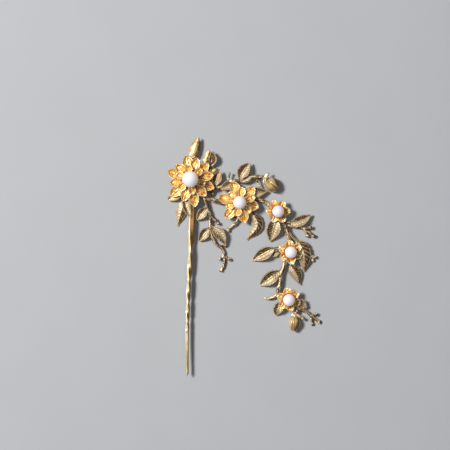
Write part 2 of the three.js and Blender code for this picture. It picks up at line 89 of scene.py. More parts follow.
class CastingSettings(bpy.types.PropertyGroup):
    voxel: bpy.props.FloatProperty(
        name="Grain Size", description="Finest detail of the cast stems",
        default=0.105 * MM, unit="LENGTH", precision=6,
    )
    bark: bpy.props.FloatProperty(
        name="Bark", description="Height of the bark on the stems",
        default=0.16 * MM, unit="LENGTH", precision=6,
    )
    vein: bpy.props.FloatProperty(
        name="Veins", description="Height of a leaf's side veins",
        default=0.12 * MM, unit="LENGTH", precision=6,
    )
    leaf_thickness: bpy.props.FloatProperty(
        name="Leaf Thickness", description="Thickness of a cast leaf",
        default=0.5 * MM, unit="LENGTH", precision=6,
    )
    gold_colour: bpy.props.FloatVectorProperty(
        name="Gold", description="Gold of the high places", default=(0.80, 0.655, 0.43), subtype="COLOR"
    )
    rubbed_colour: bpy.props.FloatVectorProperty(
        name="Rubbed Gold", description="Gold of the smooth leaves and buds",
        default=(0.90, 0.70, 0.37), subtype="COLOR",
    )
    # This brown is also painted as shade on the sides turned from the light.
    wash_and_shade_colour: bpy.props.FloatVectorProperty(
        name="Wash", description="Brown wash left in the recesses",
        default=(0.075, 0.034, 0.010), subtype="COLOR",
    )


class PetalSettings(bpy.types.PropertyGroup):
    sheet: bpy.props.FloatProperty(
        name="Sheet", description="Thickness of the stamped petals",
        default=0.34 * MM, unit="LENGTH", precision=6,
    )
    rim: bpy.props.FloatProperty(
        name="Rim", description="Width of the bare rim round a petal",
        default=0.42 * MM, unit="LENGTH", precision=6,
    )
    enamel_colour: bpy.props.FloatVectorProperty(
        name="Enamel", description="Amber enamel", default=(0.88, 0.43, 0.052), subtype="COLOR"
    )
    # The deep enamel colour is also painted as shade on petal walls turned from the light.
    deep_and_shade_colour: bpy.props.FloatVectorProperty(
        name="Deep Enamel", description="Enamel where it lies thick",
        default=(0.50, 0.14, 0.010), subtype="COLOR",
    )
    rim_colour: bpy.props.FloatVectorProperty(
        name="Rim Colour", description="Gold of the bare rims", default=(0.97, 0.84, 0.60), subtype="COLOR"
    )


class PearlSettings(bpy.types.PropertyGroup):
    colour: bpy.props.FloatVectorProperty(
        name="Nacre", description="Body colour of the pearls", default=(0.80, 0.78, 0.81), subtype="COLOR"
    )
    blush: bpy.props.FloatVectorProperty(
        name="Blush", description="Second tint of the nacre", default=(0.74, 0.69, 0.77), subtype="COLOR"
    )


class StageSettings(bpy.types.PropertyGroup):
    key_power: bpy.props.FloatProperty(
        name="Key Light", description="Power of the large light on the left", default=27.0, unit="POWER"
    )
    fill_power: bpy.props.FloatProperty(
        name="Fill Light", description="Power of the soft light overhead", default=2.0, unit="POWER"
    )
    floor_colour: bpy.props.FloatVectorProperty(
        name="Floor", description="Colour of the pale floor", default=(0.47, 0.485, 0.508), subtype="COLOR"
    )


class HairStickSettings(bpy.types.PropertyGroup):
    stick: bpy.props.PointerProperty(type=StickSettings)
    casting: bpy.props.PointerProperty(type=CastingSettings)
    petals: bpy.props.PointerProperty(type=PetalSettings)
    pearls: bpy.props.PointerProperty(type=PearlSettings)
    stage: bpy.props.PointerProperty(type=StageSettings)


# ---------------------------------------------------------------- mesh tools


def select_only(piece):
    if bpy.context.object and bpy.context.object.mode != "OBJECT":
        bpy.ops.object.mode_set(mode="OBJECT")
    bpy.ops.object.select_all(action="DESELECT")
    piece.select_set(True)
    bpy.context.view_layer.objects.active = piece


def coordinates(piece):
    """The piece's vertices as an array, one row each."""
    flat = np.empty(len(piece.data.vertices) * 3)
    piece.data.vertices.foreach_get("co", flat)
    return flat.reshape(-1, 3)


def move_vertices(piece, places):
    """Puts the piece's vertices at the places, one row each."""
    piece.data.vertices.foreach_set("co", np.ascontiguousarray(places, dtype=float).ravel())
    piece.data.update()


def normals_of(piece):
    """The vertices' normals as an array, one row each."""
    flat = np.empty(len(piece.data.vertices) * 3)
    piece.data.vertex_normals.foreach_get("vector", flat)
    return flat.reshape(-1, 3)


def set_attribute(piece, name, values):
    """Stores one number for each vertex, for the piece's material to read."""
    layer = piece.data.attributes.get(name) or piece.data.attributes.new(name, "FLOAT", "POINT")
    layer.data.foreach_set("value", np.clip(values, 0.0, 1.0).astype(np.float32))


def attribute_of(piece, name):
    """The numbers stored for the vertices under a name."""
    values = np.empty(len(piece.data.vertices), dtype=np.float32)
    piece.data.attributes[name].data.foreach_get("value", values)
    return values


def apply_modifier(piece, kind, **settings):
    select_only(piece)
    modifier = piece.modifiers.new(kind.lower(), kind)
    for key, value in settings.items():
        setattr(modifier, key, value)
    bpy.ops.object.modifier_apply(modifier=modifier.name)


def in_edit_mode(piece, *steps):
    """Runs edit-mode operators on the whole mesh."""
    select_only(piece)
    bpy.ops.object.mode_set(mode="EDIT")
    bpy.ops.mesh.select_all(action="SELECT")
    for step in steps:
        step()
    bpy.ops.object.mode_set(mode="OBJECT")


def select_by(piece, test, mode):
    """Selects only the faces whose centre and normal, or the edges whose two ends, pass the test."""
    select_only(piece)
    bpy.ops.object.mode_set(mode="EDIT")
    bpy.ops.mesh.select_mode(type=mode)
    bpy.ops.mesh.select_all(action="DESELECT")
    bpy.ops.object.mode_set(mode="OBJECT")
    mesh = piece.data
    if mode == "FACE":
        for face in mesh.polygons:
            face.select = bool(test(face.center, face.normal))
    else:
        for edge in mesh.edges:
            edge.select = bool(test(*(mesh.vertices[end].co for end in edge.vertices)))
    bpy.ops.object.mode_set(mode="EDIT")


def grid(name, columns, rows):
    """A flat grid from -1 to 1 across X and 0 to 1 along Y."""
    bpy.ops.mesh.primitive_grid_add(x_subdivisions=columns, y_subdivisions=rows, size=2)
    piece = bpy.context.object
    piece.name = name
    places = coordinates(piece)
    places[:, 1] = (places[:, 1] + 1) / 2
    move_vertices(piece, places)
    return piece


def copy_of(piece, name):
    """A copy with a mesh of its own."""
    twin = bpy.data.objects.new(name, piece.data.copy())
    bpy.context.collection.objects.link(twin)
    return twin


def joined(pieces, name):
    select_only(pieces[0])
    for piece in pieces:
        piece.select_set(True)
    bpy.ops.object.join()
    whole = bpy.context.object
    whole.name = name
    return whole


def discard(piece):
    bpy.data.objects.remove(piece, do_unlink=True)


def cad_copy(node, name):
    """A copy of a CAD node's mesh, merged and in millimetres."""
    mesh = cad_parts[node].data.copy()
    mesh.transform(Matrix.Scale(1 / MM, 4))
    mesh.materials.clear()
    piece = bpy.data.objects.new(name, mesh)
    bpy.context.collection.objects.link(piece)
    in_edit_mode(piece, lambda: bpy.ops.mesh.remove_doubles(threshold=0.001))
    return piece


def finished(piece, material, slot, *nodes, smooth_angle=50):
    """Scales the piece to metres, smooths and dresses it, and ties it to the frame."""
    piece.data.transform(Matrix.Scale(MM, 4))
    select_only(piece)
    bpy.ops.object.shade_smooth_by_angle(angle=math.radians(smooth_angle))
    piece.data.materials.clear()
    piece.data.materials.append(material)
    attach(piece, "root")
    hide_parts(*nodes)
    return piece


def box_mm(node):
    """A CAD node's lowest and highest corners, in millimetres."""
    low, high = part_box(node)
    return np.array(low) / MM, np.array(high) / MM


# ---------------------------------------------------------------- number tools


def smooth_step(low, high, value):
    """Eases from 0 at the low value to 1 at the high one."""
    share = np.clip((value - low) / (high - low), 0.0, 1.0)
    return share * share * (3 - 2 * share)


def hump(value, middle, breadth):
    """A smooth hump, 1 high, round the middle."""
    return np.exp(-(((value - middle) / breadth) ** 2))


def lumps(places, size, seed):
    """Smooth noise from 0 to 1, with lumps of about the given size."""
    # Moved well above zero, so that every cell's number is positive.
    spread = places / size + seed * 17.31 + 1000
    cell = np.floor(spread).astype(np.int64)
    part = spread - cell
    part = part * part * (3 - 2 * part)
    total = np.zeros(len(places))
    for corner in range(8):
        offset = np.array([corner & 1, (corner >> 1) & 1, corner >> 2])
        q = cell + offset
        code = (q[:, 0] * 73856093) ^ (q[:, 1] * 19349663) ^ (q[:, 2] * 83492791)
        code = ((code ^ (code >> 13)) * 1274126177) & 0x7FFFFFFF
        value = ((code ^ (code >> 15)) & 0xFFFF) / 65535
        weight = np.prod(np.where(offset, part, 1 - part), axis=1)
        total += value * weight
    return total


def ridges(places, size, seed):
    """Noise that runs in sharp crests, from 0 to 1."""
    return 1 - np.abs(2 * lumps(places, size, seed) - 1)


class Route:
    """A smooth curve through points, walked by shares of its length."""

    def __init__(self, points):
        p = np.array(points, dtype=float)
        p = np.vstack([2 * p[0] - p[1], p, 2 * p[-1] - p[-2]])
        t = np.linspace(0, 1, 80, endpoint=False)[:, None]
        runs = []
        for before, start, end, after in zip(p, p[1:], p[2:], p[3:]):
            spans = (start - before, end - start, after - end)
            d0, d1, d2 = (np.linalg.norm(span) ** 0.5 for span in spans)
            leave = ((start - before) / d0 - (end - before) / (d0 + d1) + (end - start) / d1) * d1
            arrive = ((end - start) / d1 - (after - start) / (d1 + d2) + (after - end) / d2) * d1
            square = -3 * start + 3 * end - 2 * leave - arrive
            cube = 2 * start - 2 * end + leave + arrive
            runs.append(start + leave * t + square * t**2 + cube * t**3)
        self.points = np.vstack([*runs, p[-2]])
        steps = np.linalg.norm(np.diff(self.points, axis=0), axis=1)
        self.lengths = np.concatenate([[0], np.cumsum(steps)])
        self.length = self.lengths[-1]

    def at(self, shares):
        """Places, and the directions across and above the curve, at shares of its length."""
        walked = np.clip(shares, 0, 1) * self.length
        reach = 0.004 * self.length
        ahead, behind = np.minimum(walked + reach, self.length), np.maximum(walked - reach, 0)
        along = self.place(ahead) - self.place(behind)
        along /= np.linalg.norm(along, axis=1)[:, None]
        across = np.cross(along, UP)
        across /= np.linalg.norm(across, axis=1)[:, None]
        return self.place(walked), across, np.cross(across, along)

    def place(self, walked):
        return np.stack([np.interp(walked, self.lengths, self.points[:, k]) for k in range(3)], axis=1)


# ---------------------------------------------------------------- shader groups


def put(tree, kind, inputs=None, **settings):
    """Adds a node, sets its options, and links or sets its inputs."""
    node = tree.nodes.new(kind)
    for key, value in settings.items():
        setattr(node, key, value)
    for key, value in (inputs or {}).items():
        if isinstance(value, bpy.types.NodeSocket):
            tree.links.new(value, node.inputs[key])
        else:
            node.inputs[key].default_value = value
    return node


def maths(tree, operation, *values, clamp=False):
    node = put(tree, "ShaderNodeMath", dict(enumerate(values)), operation=operation, use_clamp=clamp)
    return node.outputs[0]


def blended(tree, share, first, second):
    """A colour between two colours."""
    node = put(tree, "ShaderNodeMix", data_type="RGBA")
    for key, value in ((0, share), (6, first), (7, second)):
        if isinstance(value, bpy.types.NodeSocket):
            tree.links.new(value, node.inputs[key])
        else:
            node.inputs[key].default_value = value if key == 0 else (*value[:3], 1.0)
    return node.outputs[2]


def between(tree, share, first, second):
    """A number between two numbers."""
    return put(tree, "ShaderNodeMapRange", {"Value": share, "To Min": first, "To Max": second}).outputs[0]


def smoothed(tree, value, low, high):
    """A number eased from 0 at the low value to 1 at the high one."""
    limits = {"Value": value, "From Min": low, "From Max": high}
    return put(tree, "ShaderNodeMapRange", limits, interpolation_type="SMOOTHSTEP").outputs[0]


def noise(tree, **inputs):
    """Soft noise on the piece's own coordinates."""
    return put(tree, "ShaderNodeTexNoise", {"Vector": on_piece(tree), **inputs}).outputs["Fac"]


def scaled_colour(colour, *shares):
    """A colour with its red, green and blue each scaled."""
    return tuple(c * share for c, share in zip(colour, shares))


def on_piece(tree):
    """The piece's own coordinates."""
    return put(tree, "ShaderNodeTexCoord").outputs["Object"]


def attribute(tree, name):
    return put(tree, "ShaderNodeAttribute", attribute_name=name).outputs["Fac"]


def new_group(name, inputs, outputs):
    tree = bpy.data.node_groups.new(name, "ShaderNodeTree")
    for label, kind, default in inputs:
        socket = tree.interface.new_socket(label, in_out="INPUT", socket_type=kind)
        socket.default_value = default
    for label, kind in outputs:
        tree.interface.new_socket(label, in_out="OUTPUT", socket_type=kind)
    return tree, put(tree, "NodeGroupInput").outputs, put(tree, "NodeGroupOutput").inputs


FLOAT = "NodeSocketFloat"
COLOUR = "NodeSocketColor"


def patina_and_shade_group():
    """Brown patina that stays in the recesses and is rubbed off the high places, in uneven patches; the
    height it is given also carries painted light and shade, so it also lays the brown as painted shade on
    sides turned from the light.
    """
    tree, given, out = new_group(
        "patina_and_shade",
        [
            ("Metal", COLOUR, (0.8, 0.6, 0.3, 1)),
            ("Wash", COLOUR, (0.1, 0.06, 0.04, 1)),
            ("Relief", FLOAT, 0.5),
            ("Cover", FLOAT, 1.0),
            ("Bare Above", FLOAT, 0.5),
            ("Patches", FLOAT, 900.0),
            ("Uneven", FLOAT, 0.5),
        ],
        [("Colour", COLOUR), ("Bare", FLOAT)],
    )
    patches = noise(tree, Scale=given["Patches"], Detail=4.0)
    uneven = maths(tree, "MULTIPLY", maths(tree, "SUBTRACT", patches, 0.5), given["Uneven"])
    height = maths(tree, "ADD", given["Relief"], uneven)
    low = maths(tree, "SUBTRACT", given["Bare Above"], 0.22)
    high = maths(tree, "ADD", given["Bare Above"], 0.22)
    washed = maths(tree, "SUBTRACT", 1.0, smoothed(tree, height, low, high))
    left = maths(tree, "MULTIPLY", washed, given["Cover"])
    shown = maths(tree, "SUBTRACT", 1.0, left, clamp=True)
    tree.links.new(blended(tree, shown, given["Wash"], given["Metal"]), out["Colour"])
    tree.links.new(shown, out["Bare"])
    return tree


def cast_grain_group():
    """The fine skin of a casting: grain with a few pits, as a height and as a tone."""
    tree, given, out = new_group(
        "cast_grain",
        [("Size", FLOAT, 2500.0), ("Pits", FLOAT, 0.4)],
        [("Height", FLOAT), ("Tone", FLOAT)],
    )
    grain = noise(tree, Scale=given["Size"], Detail=5.0, Roughness=0.6)
    cells = {"Vector": on_piece(tree), "Scale": given["Size"]}
    pit = put(tree, "ShaderNodeTexVoronoi", cells).outputs["Distance"]
    dug = put(tree, "ShaderNodeMapRange", {"Value": pit, "From Max": 0.35}).outputs[0]
    pitted = maths(tree, "MULTIPLY", maths(tree, "SUBTRACT", 1.0, dug), given["Pits"])
    tree.links.new(maths(tree, "SUBTRACT", grain, pitted), out["Height"])
    tree.links.new(grain, out["Tone"])
    return tree


def cloudy_tone_group():
    """A colour that drifts between two tones over the piece."""
    tree, given, out = new_group(
        "cloudy_tone",
        [("Pale", COLOUR, (1, 1, 1, 1)), ("Warm", COLOUR, (0.8, 0.7, 0.5, 1)), ("Size", FLOAT, 220.0)],
        [("Colour", COLOUR)],
    )
    share = smoothed(tree, noise(tree, Scale=given["Size"], Detail=3.0), 0.35, 0.65)
    tree.links.new(blended(tree, share, given["Pale"], given["Warm"]), out["Colour"])
    return tree


def use_group(tree, maker, **inputs):
    """Places a shared group and feeds its inputs, named with spaces as underscores."""
    name = maker.__name__.removesuffix("_group")
    node = put(tree, "ShaderNodeGroup", node_tree=bpy.data.node_groups.get(name) or maker())
    for key, value in inputs.items():
        socket = node.inputs[key.replace("_", " ")]
        if isinstance(value, bpy.types.NodeSocket):
            tree.links.new(value, socket)
        elif socket.type == "RGBA":
            socket.default_value = (*value[:3], 1.0)
        else:
            socket.default_value = value
    return node.outputs


def new_material(name, **constants):
    """A material with a Principled shader, whose constants are set on its own sockets."""
    material = bpy.data.materials.new(name)
    material.use_nodes = True
    tree = material.node_tree
    shader = tree.nodes["Principled BSDF"]
    for key, value in constants.items():
        shader.inputs[key.replace("_", " ")].default_value = value
    return material, tree, shader.inputs


def add_bump(tree, surface, height, distance):
    bump = put(tree, "ShaderNodeBump", {"Height": height, "Distance": distance, "Strength": 1.0})
    tree.links.new(bump.outputs[0], surface["Normal"])


def made_once(maker):
    """Keeps the first material a maker gives, so that all its pieces share it."""
    name = maker.__name__
    return bpy.data.materials.get(name) or maker(name)


def casting(name, gold, brown, shine):
    """Antique gold: pale rubbed gold on the high places and as painted light on sides turned to the light;
    brown patina in the recesses and as painted shade on sides turned from it.
    """
    material, tree, surface = new_material(name, Specular_IOR_Level=0.3)
    warm = scaled_colour(gold, 0.78, 0.68, 0.55)
    tone = use_group(tree, cloudy_tone_group, Pale=gold, Warm=warm, Size=260.0)["Colour"]
    wash_and_shade = use_group(
        tree,
        patina_and_shade_group,
        Metal=tone,
        Wash=brown,
        Relief=attribute(tree, "relief_and_light"),
        Cover=attribute(tree, "wash_and_shade"),
        Bare_Above=0.5,
        Patches=800.0,
        Uneven=1.1,
    )
    grain = use_group(tree, cast_grain_group, Size=2600.0, Pits=0.35)
    tree.links.new(wash_and_shade["Colour"], surface["Base Color"])
    tree.links.new(between(tree, wash_and_shade["Bare"], 0.1, shine), surface["Metallic"])
    rough = maths(tree, "MULTIPLY_ADD", grain["Tone"], 0.14, between(tree, wash_and_shade["Bare"], 0.56, 0.3))
    tree.links.new(rough, surface["Roughness"])
    add_bump(tree, surface, grain["Height"], 0.035 * MM)
    return material


def washed_casting(name):
    """The stems' and veined leaves' finish."""
    look = bpy.context.scene.hair_stick.casting
    return casting(name, look.gold_colour, look.wash_and_shade_colour, 0.5)


def rubbed_casting(name):
    """The smooth leaves' and buds' finish, rubbed brighter, over a thinner wash."""
    look = bpy.context.scene.hair_stick.casting
    return casting(name, look.rubbed_colour, scaled_colour(look.wash_and_shade_colour, 2, 2, 2), 0.42)


def hammered_gold(name):
    """The stick's brighter gold: bare gold on the rubbed edges and as painted light on facets turned to the
    light, olive in the hollows and as painted shade on facets turned from it.
    """
    look = bpy.context.scene.hair_stick.stick
    material, tree, surface = new_material(name)
    warm = scaled_colour(look.edge_and_lit_colour, 0.88, 0.76, 0.50)
    tone = use_group(tree, cloudy_tone_group, Pale=look.edge_and_lit_colour, Warm=warm, Size=160.0)["Colour"]
    wash_and_shade = use_group(
        tree,
        patina_and_shade_group,
        Metal=tone,
        Wash=look.hollow_and_shade_colour,
        Relief=attribute(tree, "relief_and_light"),
        Cover=attribute(tree, "wash_and_shade"),
        Bare_Above=0.5,
        Patches=420.0,
    )
    grain = use_group(tree, cast_grain_group, Size=1600.0, Pits=0.2)
    tree.links.new(wash_and_shade["Colour"], surface["Base Color"])
    tree.links.new(between(tree, wash_and_shade["Bare"], 0.75, 0.22), surface["Metallic"])
    rough = maths(tree, "MULTIPLY_ADD", grain["Tone"], 0.12, between(tree, wash_and_shade["Bare"], 0.36, 0.2))
    tree.links.new(rough, surface["Roughness"])
    add_bump(tree, surface, grain["Height"], 0.03 * MM)
    return material


def fired_enamel(name):
    """Amber enamel over textured metal, deeper in the hollows and as painted shade on walls turned from the
    light, paler as painted light on walls turned to it, with bare gold rims.
    """
    look = bpy.context.scene.hair_stick.petals
    material, tree, surface = new_material(name, Coat_Roughness=0.12)
    pale = scaled_colour(look.enamel_colour, 1.12, 1.62, 4.6)
    body = use_group(tree, cloudy_tone_group, Pale=pale, Warm=look.enamel_colour, Size=700.0)["Colour"]
    pooled = use_group(
        tree,
        patina_and_shade_group,
        Metal=body,
        Wash=look.deep_and_shade_colour,
        Relief=attribute(tree, "relief_and_light"),
        Cover=0.9,
        Bare_Above=0.46,
        Patches=1100.0,
        Uneven=0.8,
    )
    bare = attribute(tree, "rim")
    grain = use_group(tree, cast_grain_group, Size=2900.0, Pits=0.6)
    tree.links.new(blended(tree, bare, pooled["Colour"], look.rim_colour), surface["Base Color"])
    tree.links.new(between(tree, bare, 0.3, 0.42), surface["Metallic"])
    rough = maths(tree, "MULTIPLY_ADD", grain["Tone"], 0.2, between(tree, bare, 0.2, 0.18))
    tree.links.new(rough, surface["Roughness"])
    tree.links.new(between(tree, bare, 0.7, 0.0), surface["Coat Weight"])
    add_bump(tree, surface, grain["Height"], 0.1 * MM)
    return material


def pearl_nacre(name):
    """White nacre with a faint lilac blush in drifting bands."""
    look = bpy.context.scene.hair_stick.pearls
    material, tree, surface = new_material(
        name,
        Coat_Roughness=0.06,
        Subsurface_Weight=0.25,
        Subsurface_Scale=1.5 * MM,
        # A faint warm glow: painted light that brightens the pearl's shaded side.
        Emission_Strength=0.2,
        Emission_Color=(1.0, 0.95, 0.93, 1),
    )
    tone = use_group(tree, cloudy_tone_group, Pale=look.colour, Warm=look.blush, Size=170.0)["Colour"]
    waves = {"Vector": on_piece(tree), "Scale": 140.0, "Distortion": 6.0, "Detail": 3.0}
    band = put(tree, "ShaderNodeTexWave", waves, bands_direction="Z").outputs["Fac"]
    banded = blended(tree, maths(tree, "MULTIPLY", band, 0.25), tone, (0.82, 0.76, 0.72))
    tree.links.new(banded, surface["Base Color"])
    tree.links.new(between(tree, band, 0.2, 0.3), surface["Roughness"])
    tree.links.new(between(tree, band, 0.45, 0.7), surface["Coat Weight"])
    grain = use_group(tree, cast_grain_group, Size=1500.0, Pits=0.0)
    add_bump(tree, surface, grain["Height"], 0.006 * MM)
    return material


def studio_floor(name):
    """The pale floor, with the faintest mottling."""
    look = bpy.context.scene.hair_stick.stage
    material, tree, surface = new_material(name, Roughness=0.85)
    pale = look.floor_colour
    warm = scaled_colour(pale, 0.985, 0.985, 0.985)
    tone = use_group(tree, cloudy_tone_group, Pale=pale, Warm=warm, Size=30.0)["Colour"]
    tree.links.new(tone, surface["Base Color"])
    return material


# ---------------------------------------------------------------- hair stick

STICK_AXIS = [
    (0.4, -3.4, 2.8),
    (0.65, -17.7, 3.0),
    (-0.35, -42.7, 3.5),
    (-1.2, -60.4, 3.8),
    (-1.65, -80, 4.0),
    (-1.45, -97.7, 4.2),
]
STICK_END = (1.2, 1.15)  # width and depth at the tip
# The side the light comes from for the stick, further to the left: its facets are painted light or shade by
# it.
STICK_LIGHT_SIDE = np.array([-0.83, 0.18, 0.53])
# The twist runs from one share of the length to another, its half turns growing shorter.
STICK_TWIST = {"from": 0.2, "to": 0.765, "half_turns": 4, "quickening": 1.55}


def hair_stick():
    """A flat bar with rounded edges, twisted in its middle, hammered, and drawn out to a blunt tip."""
    look = bpy.context.scene.hair_stick.stick
    bpy.ops.mesh.primitive_cylinder_add(vertices=36, radius=1, depth=1)
    bar = bpy.context.object
    bar.name = "hammered_hair_stick"
    # Four hundred rings along the bar, in two rounds of cuts.
    for cuts in (99, 3):
        select_by(bar, lambda a, b: abs(a.z - b.z) > 1e-4, "EDGE")
        bpy.ops.mesh.subdivide(number_cuts=cuts)
    bpy.ops.object.mode_set(mode="OBJECT")
    places = coordinates(bar)
    share = np.clip(places[:, 2] + 0.5, 0, 1)
    angle = np.arctan2(places[:, 1], places[:, 0])
    radius = np.hypot(places[:, 0], places[:, 1])
    # A rounded rectangle, a little hollow on its flats.
    side = np.sign(np.cos(angle)) * np.abs(np.cos(angle)) ** 0.6 * radius
    rise = np.sign(np.sin(angle)) * np.abs(np.sin(angle)) ** 0.6 * radius
    # The last fortieth of the bar is rounded off.
    tip = np.sqrt(np.clip(1 - smooth_step(0.975, 1.0, share) ** 2 * 0.9, 0, 1))
    half_width = 0.5 * (look.width / MM + (STICK_END[0] - look.width / MM) * share**1.2) * tip
    half_depth = 0.5 * (look.depth / MM + (STICK_END[1] - look.depth / MM) * share) * tip
    flat = side * half_width
    thick = rise * half_depth * (1 - 0.16 * (1 - side**2))
    twisted = np.clip((share - STICK_TWIST["from"]) / (STICK_TWIST["to"] - STICK_TWIST["from"]), 0, 1)
    turned = math.pi * STICK_TWIST["half_turns"] * twisted ** STICK_TWIST["quickening"]
    centre, across, above = Route(STICK_AXIS).at(share)
    u = (flat * np.cos(turned) - thick * np.sin(turned))[:, None]
    w = (flat * np.sin(turned) + thick * np.cos(turned))[:, None]
    placed = centre + across * u + above * w
    move_vertices(bar, placed)
    in_edit_mode(bar, lambda: bpy.ops.mesh.normals_make_consistent(inside=False))
    dents = lumps(placed * (1, 0.45, 1), 2.1, 3)
    scratches = ridges(placed * (1, 0.1, 1), 0.35, 5)
    edge = smooth_step(0.72, 0.97, np.abs(side))
    push = (dents - 0.6) * look.hammering / MM + (scratches - 0.5) * 0.02
    move_vertices(bar, placed + normals_of(bar) * (push * radius)[:, None])
    # Facets turned to the light are painted bright and bare, those turned from it painted dark brown: painted
    # light and shade. Lit edges get a painted highlight.
    lit = smooth_step(0.1, 0.85, normals_of(bar) @ STICK_LIGHT_SIDE)
    # The straight part at the flower gets a painted highlight on its left edge, and the drawn-out end is made
    # brighter all over.
    straight = 1 - smooth_step(0.16, 0.3, share)
    lit_edge_and_end_lift = straight * (0.3 * side - 0.05) + 0.1 * smooth_step(0.7, 0.8, share)
    relief_and_light = 1.3 * lit - 0.54 + 0.4 * edge * lit + 0.5 * (dents - 0.5) + 0.14 * (scratches - 0.5)
    set_attribute(bar, "relief_and_light", relief_and_light + lit_edge_and_end_lift)
    set_attribute(bar, "wash_and_shade", 0.97 - 0.2 * lit)
    return finished(bar, made_once(hammered_gold), "stick_gold", "hair_stick")


# ---------------------------------------------------------------- seats

SEATS = ("main_boss", "second_seat", "third_seat", "fourth_seat", "fifth_seat")
# A seat's two rolls: how far up its wall each lies, and how broad it is.
FOOT_ROLL = (0.13, 0.1)
LIP_ROLL = (0.9, 0.08)
POST_IN_PEARL = 1.0  # length of the post inside its pearl


def flower_seat(node):
    """A turned cup with a rolled foot and lip and the post that the pearl is set on."""
    low, high = box_mm(node)
    centre = (low + high) / 2
    radius = (high[0] - low[0]) / 2
    pearl_low = box_mm(node.rsplit("_", 1)[0] + "_pearl")[0]
    top = 4.2 if node == "main_boss" else 4.1
    bpy.ops.mesh.primitive_cylinder_add(
        vertices=48,
        radius=radius * 0.86,
        depth=top - low[2],
        location=(centre[0], centre[1], (low[2] + top) / 2),
    )
    seat = bpy.context.object
    seat.name = f"turned_{node}"
    bpy.ops.object.transform_apply(location=True)
    # The foot and the lip are rolled outwards, and the wall between them is waisted.
    select_by(seat, lambda a, b: abs(a.z - b.z) > 0.5, "EDGE")
    bpy.ops.mesh.subdivide(number_cuts=16)
    bpy.ops.object.mode_set(mode="OBJECT")
    places = coordinates(seat)
    height = (places[:, 2] - low[2]) / (top - low[2])
    roll = hump(height, *FOOT_ROLL) + hump(height, *LIP_ROLL)
    flute = 0.012 * np.cos(24 * np.arctan2(places[:, 1] - centre[1], places[:, 0] - centre[0]))
    grow = 1 + 0.15 * roll + flute * (1 - roll)
    places[:, :2] = centre[:2] + (places[:, :2] - centre[:2]) * grow[:, None]
    move_vertices(seat, places)
    # The post is drawn up from the middle of the top, and ends inside the pearl.
    post_height = pearl_low[2] + POST_IN_PEARL - top
    select_by(seat, lambda c, n: n.z > 0.9, "FACE")
    bpy.ops.mesh.inset(thickness=radius - 1.0 if node == "main_boss" else radius * 0.55)
    bpy.ops.mesh.extrude_region_move(TRANSFORM_OT_translate={"value": (0, 0, post_height)})
    bpy.ops.object.mode_set(mode="OBJECT")
    apply_modifier(seat, "BEVEL", width=0.12, segments=2, limit_method="ANGLE", angle_limit=math.radians(50))
    places = coordinates(seat)
    height = (places[:, 2] - low[2]) / (top - low[2])
    set_attribute(seat, "relief_and_light", 0.35 + 0.5 * hump(height, *FOOT_ROLL) + 0.2 * lumps(places, 0.5, 2))
    set_attribute(seat, "wash_and_shade", np.full(len(places), 0.8))
    return finished(seat, made_once(washed_casting), "antique_gold", node)


# ---------------------------------------------------------------- petals and pearls

# Each layer's petals: their reaches in turn round the flower, half width, height of the arch, radius of
# the joining disc, heading of the first petal, depth of the bowl and how rounded their tips are.
PETAL_LAYERS = {
    "main_outer_petals": ((12.1, 12.5, 12.3, 13.1, 13.8, 12.6), 2.65, 0.9, 4.6, 40, 0.85, 0.0),
    "main_middle_petals": ((11.7, 11.3, 10.3, 10.3, 11.3, 11.3), 2.45, 1.0, 4.0, 12, 0.85, 0.1),
    "main_inner_petals": ((7.7, 7.5, 7.6, 7.5, 7.6, 7.7), 1.95, 1.2, 3.6, 40, 0.75, 0.9),
    "second_outer_petals": ((10.7, 11.2, 10.9, 10.6, 10.5, 9.8), 2.6, 0.9, 4.0, 47, 0.8, 0.1),
    "second_inner_petals": ((8.2, 7.7, 7.3, 7.2, 6.9, 7.5), 2.0, 1.1, 3.4, 19, 0.7, 0.7),
    "third_petals": ((6.2, 6.0, 6.0, 5.9, 5.9, 6.1), 1.9, 0.7, 3.4, 0, 0.38, 0.7),
    "fourth_petals": ((6.1, 6.0, 6.2, 5.9, 6.1, 6.0), 1.9, 0.7, 3.4, 35, 0.38, 0.7),
    "fifth_petals": ((6.2, 5.9, 6.0, 6.1, 5.8, 6.1), 1.9, 0.7, 3.4, 40, 0.38, 0.7),
}
PETAL_ROOT = 1.6  # where a petal leaves the flower's axis
PETAL_LIFT = 0.55  # height of a petal's root above its layer's foot
# The closed section of a small flower's cup: distances from the axis, and heights above the petals' foot.
CUP_SECTION = [
    *((2.0, 0.55), (2.9, 0.75), (3.15, 1.15), (3.25, 1.7), (3.4, 1.9)),
    *((3.56, 1.75), (3.5, 1.3), (3.2, 0.5), (2.6, 0.25), (2.0, 0.25)),
]
PEARL_HOLE = 0.95  # radius of the hole for the post


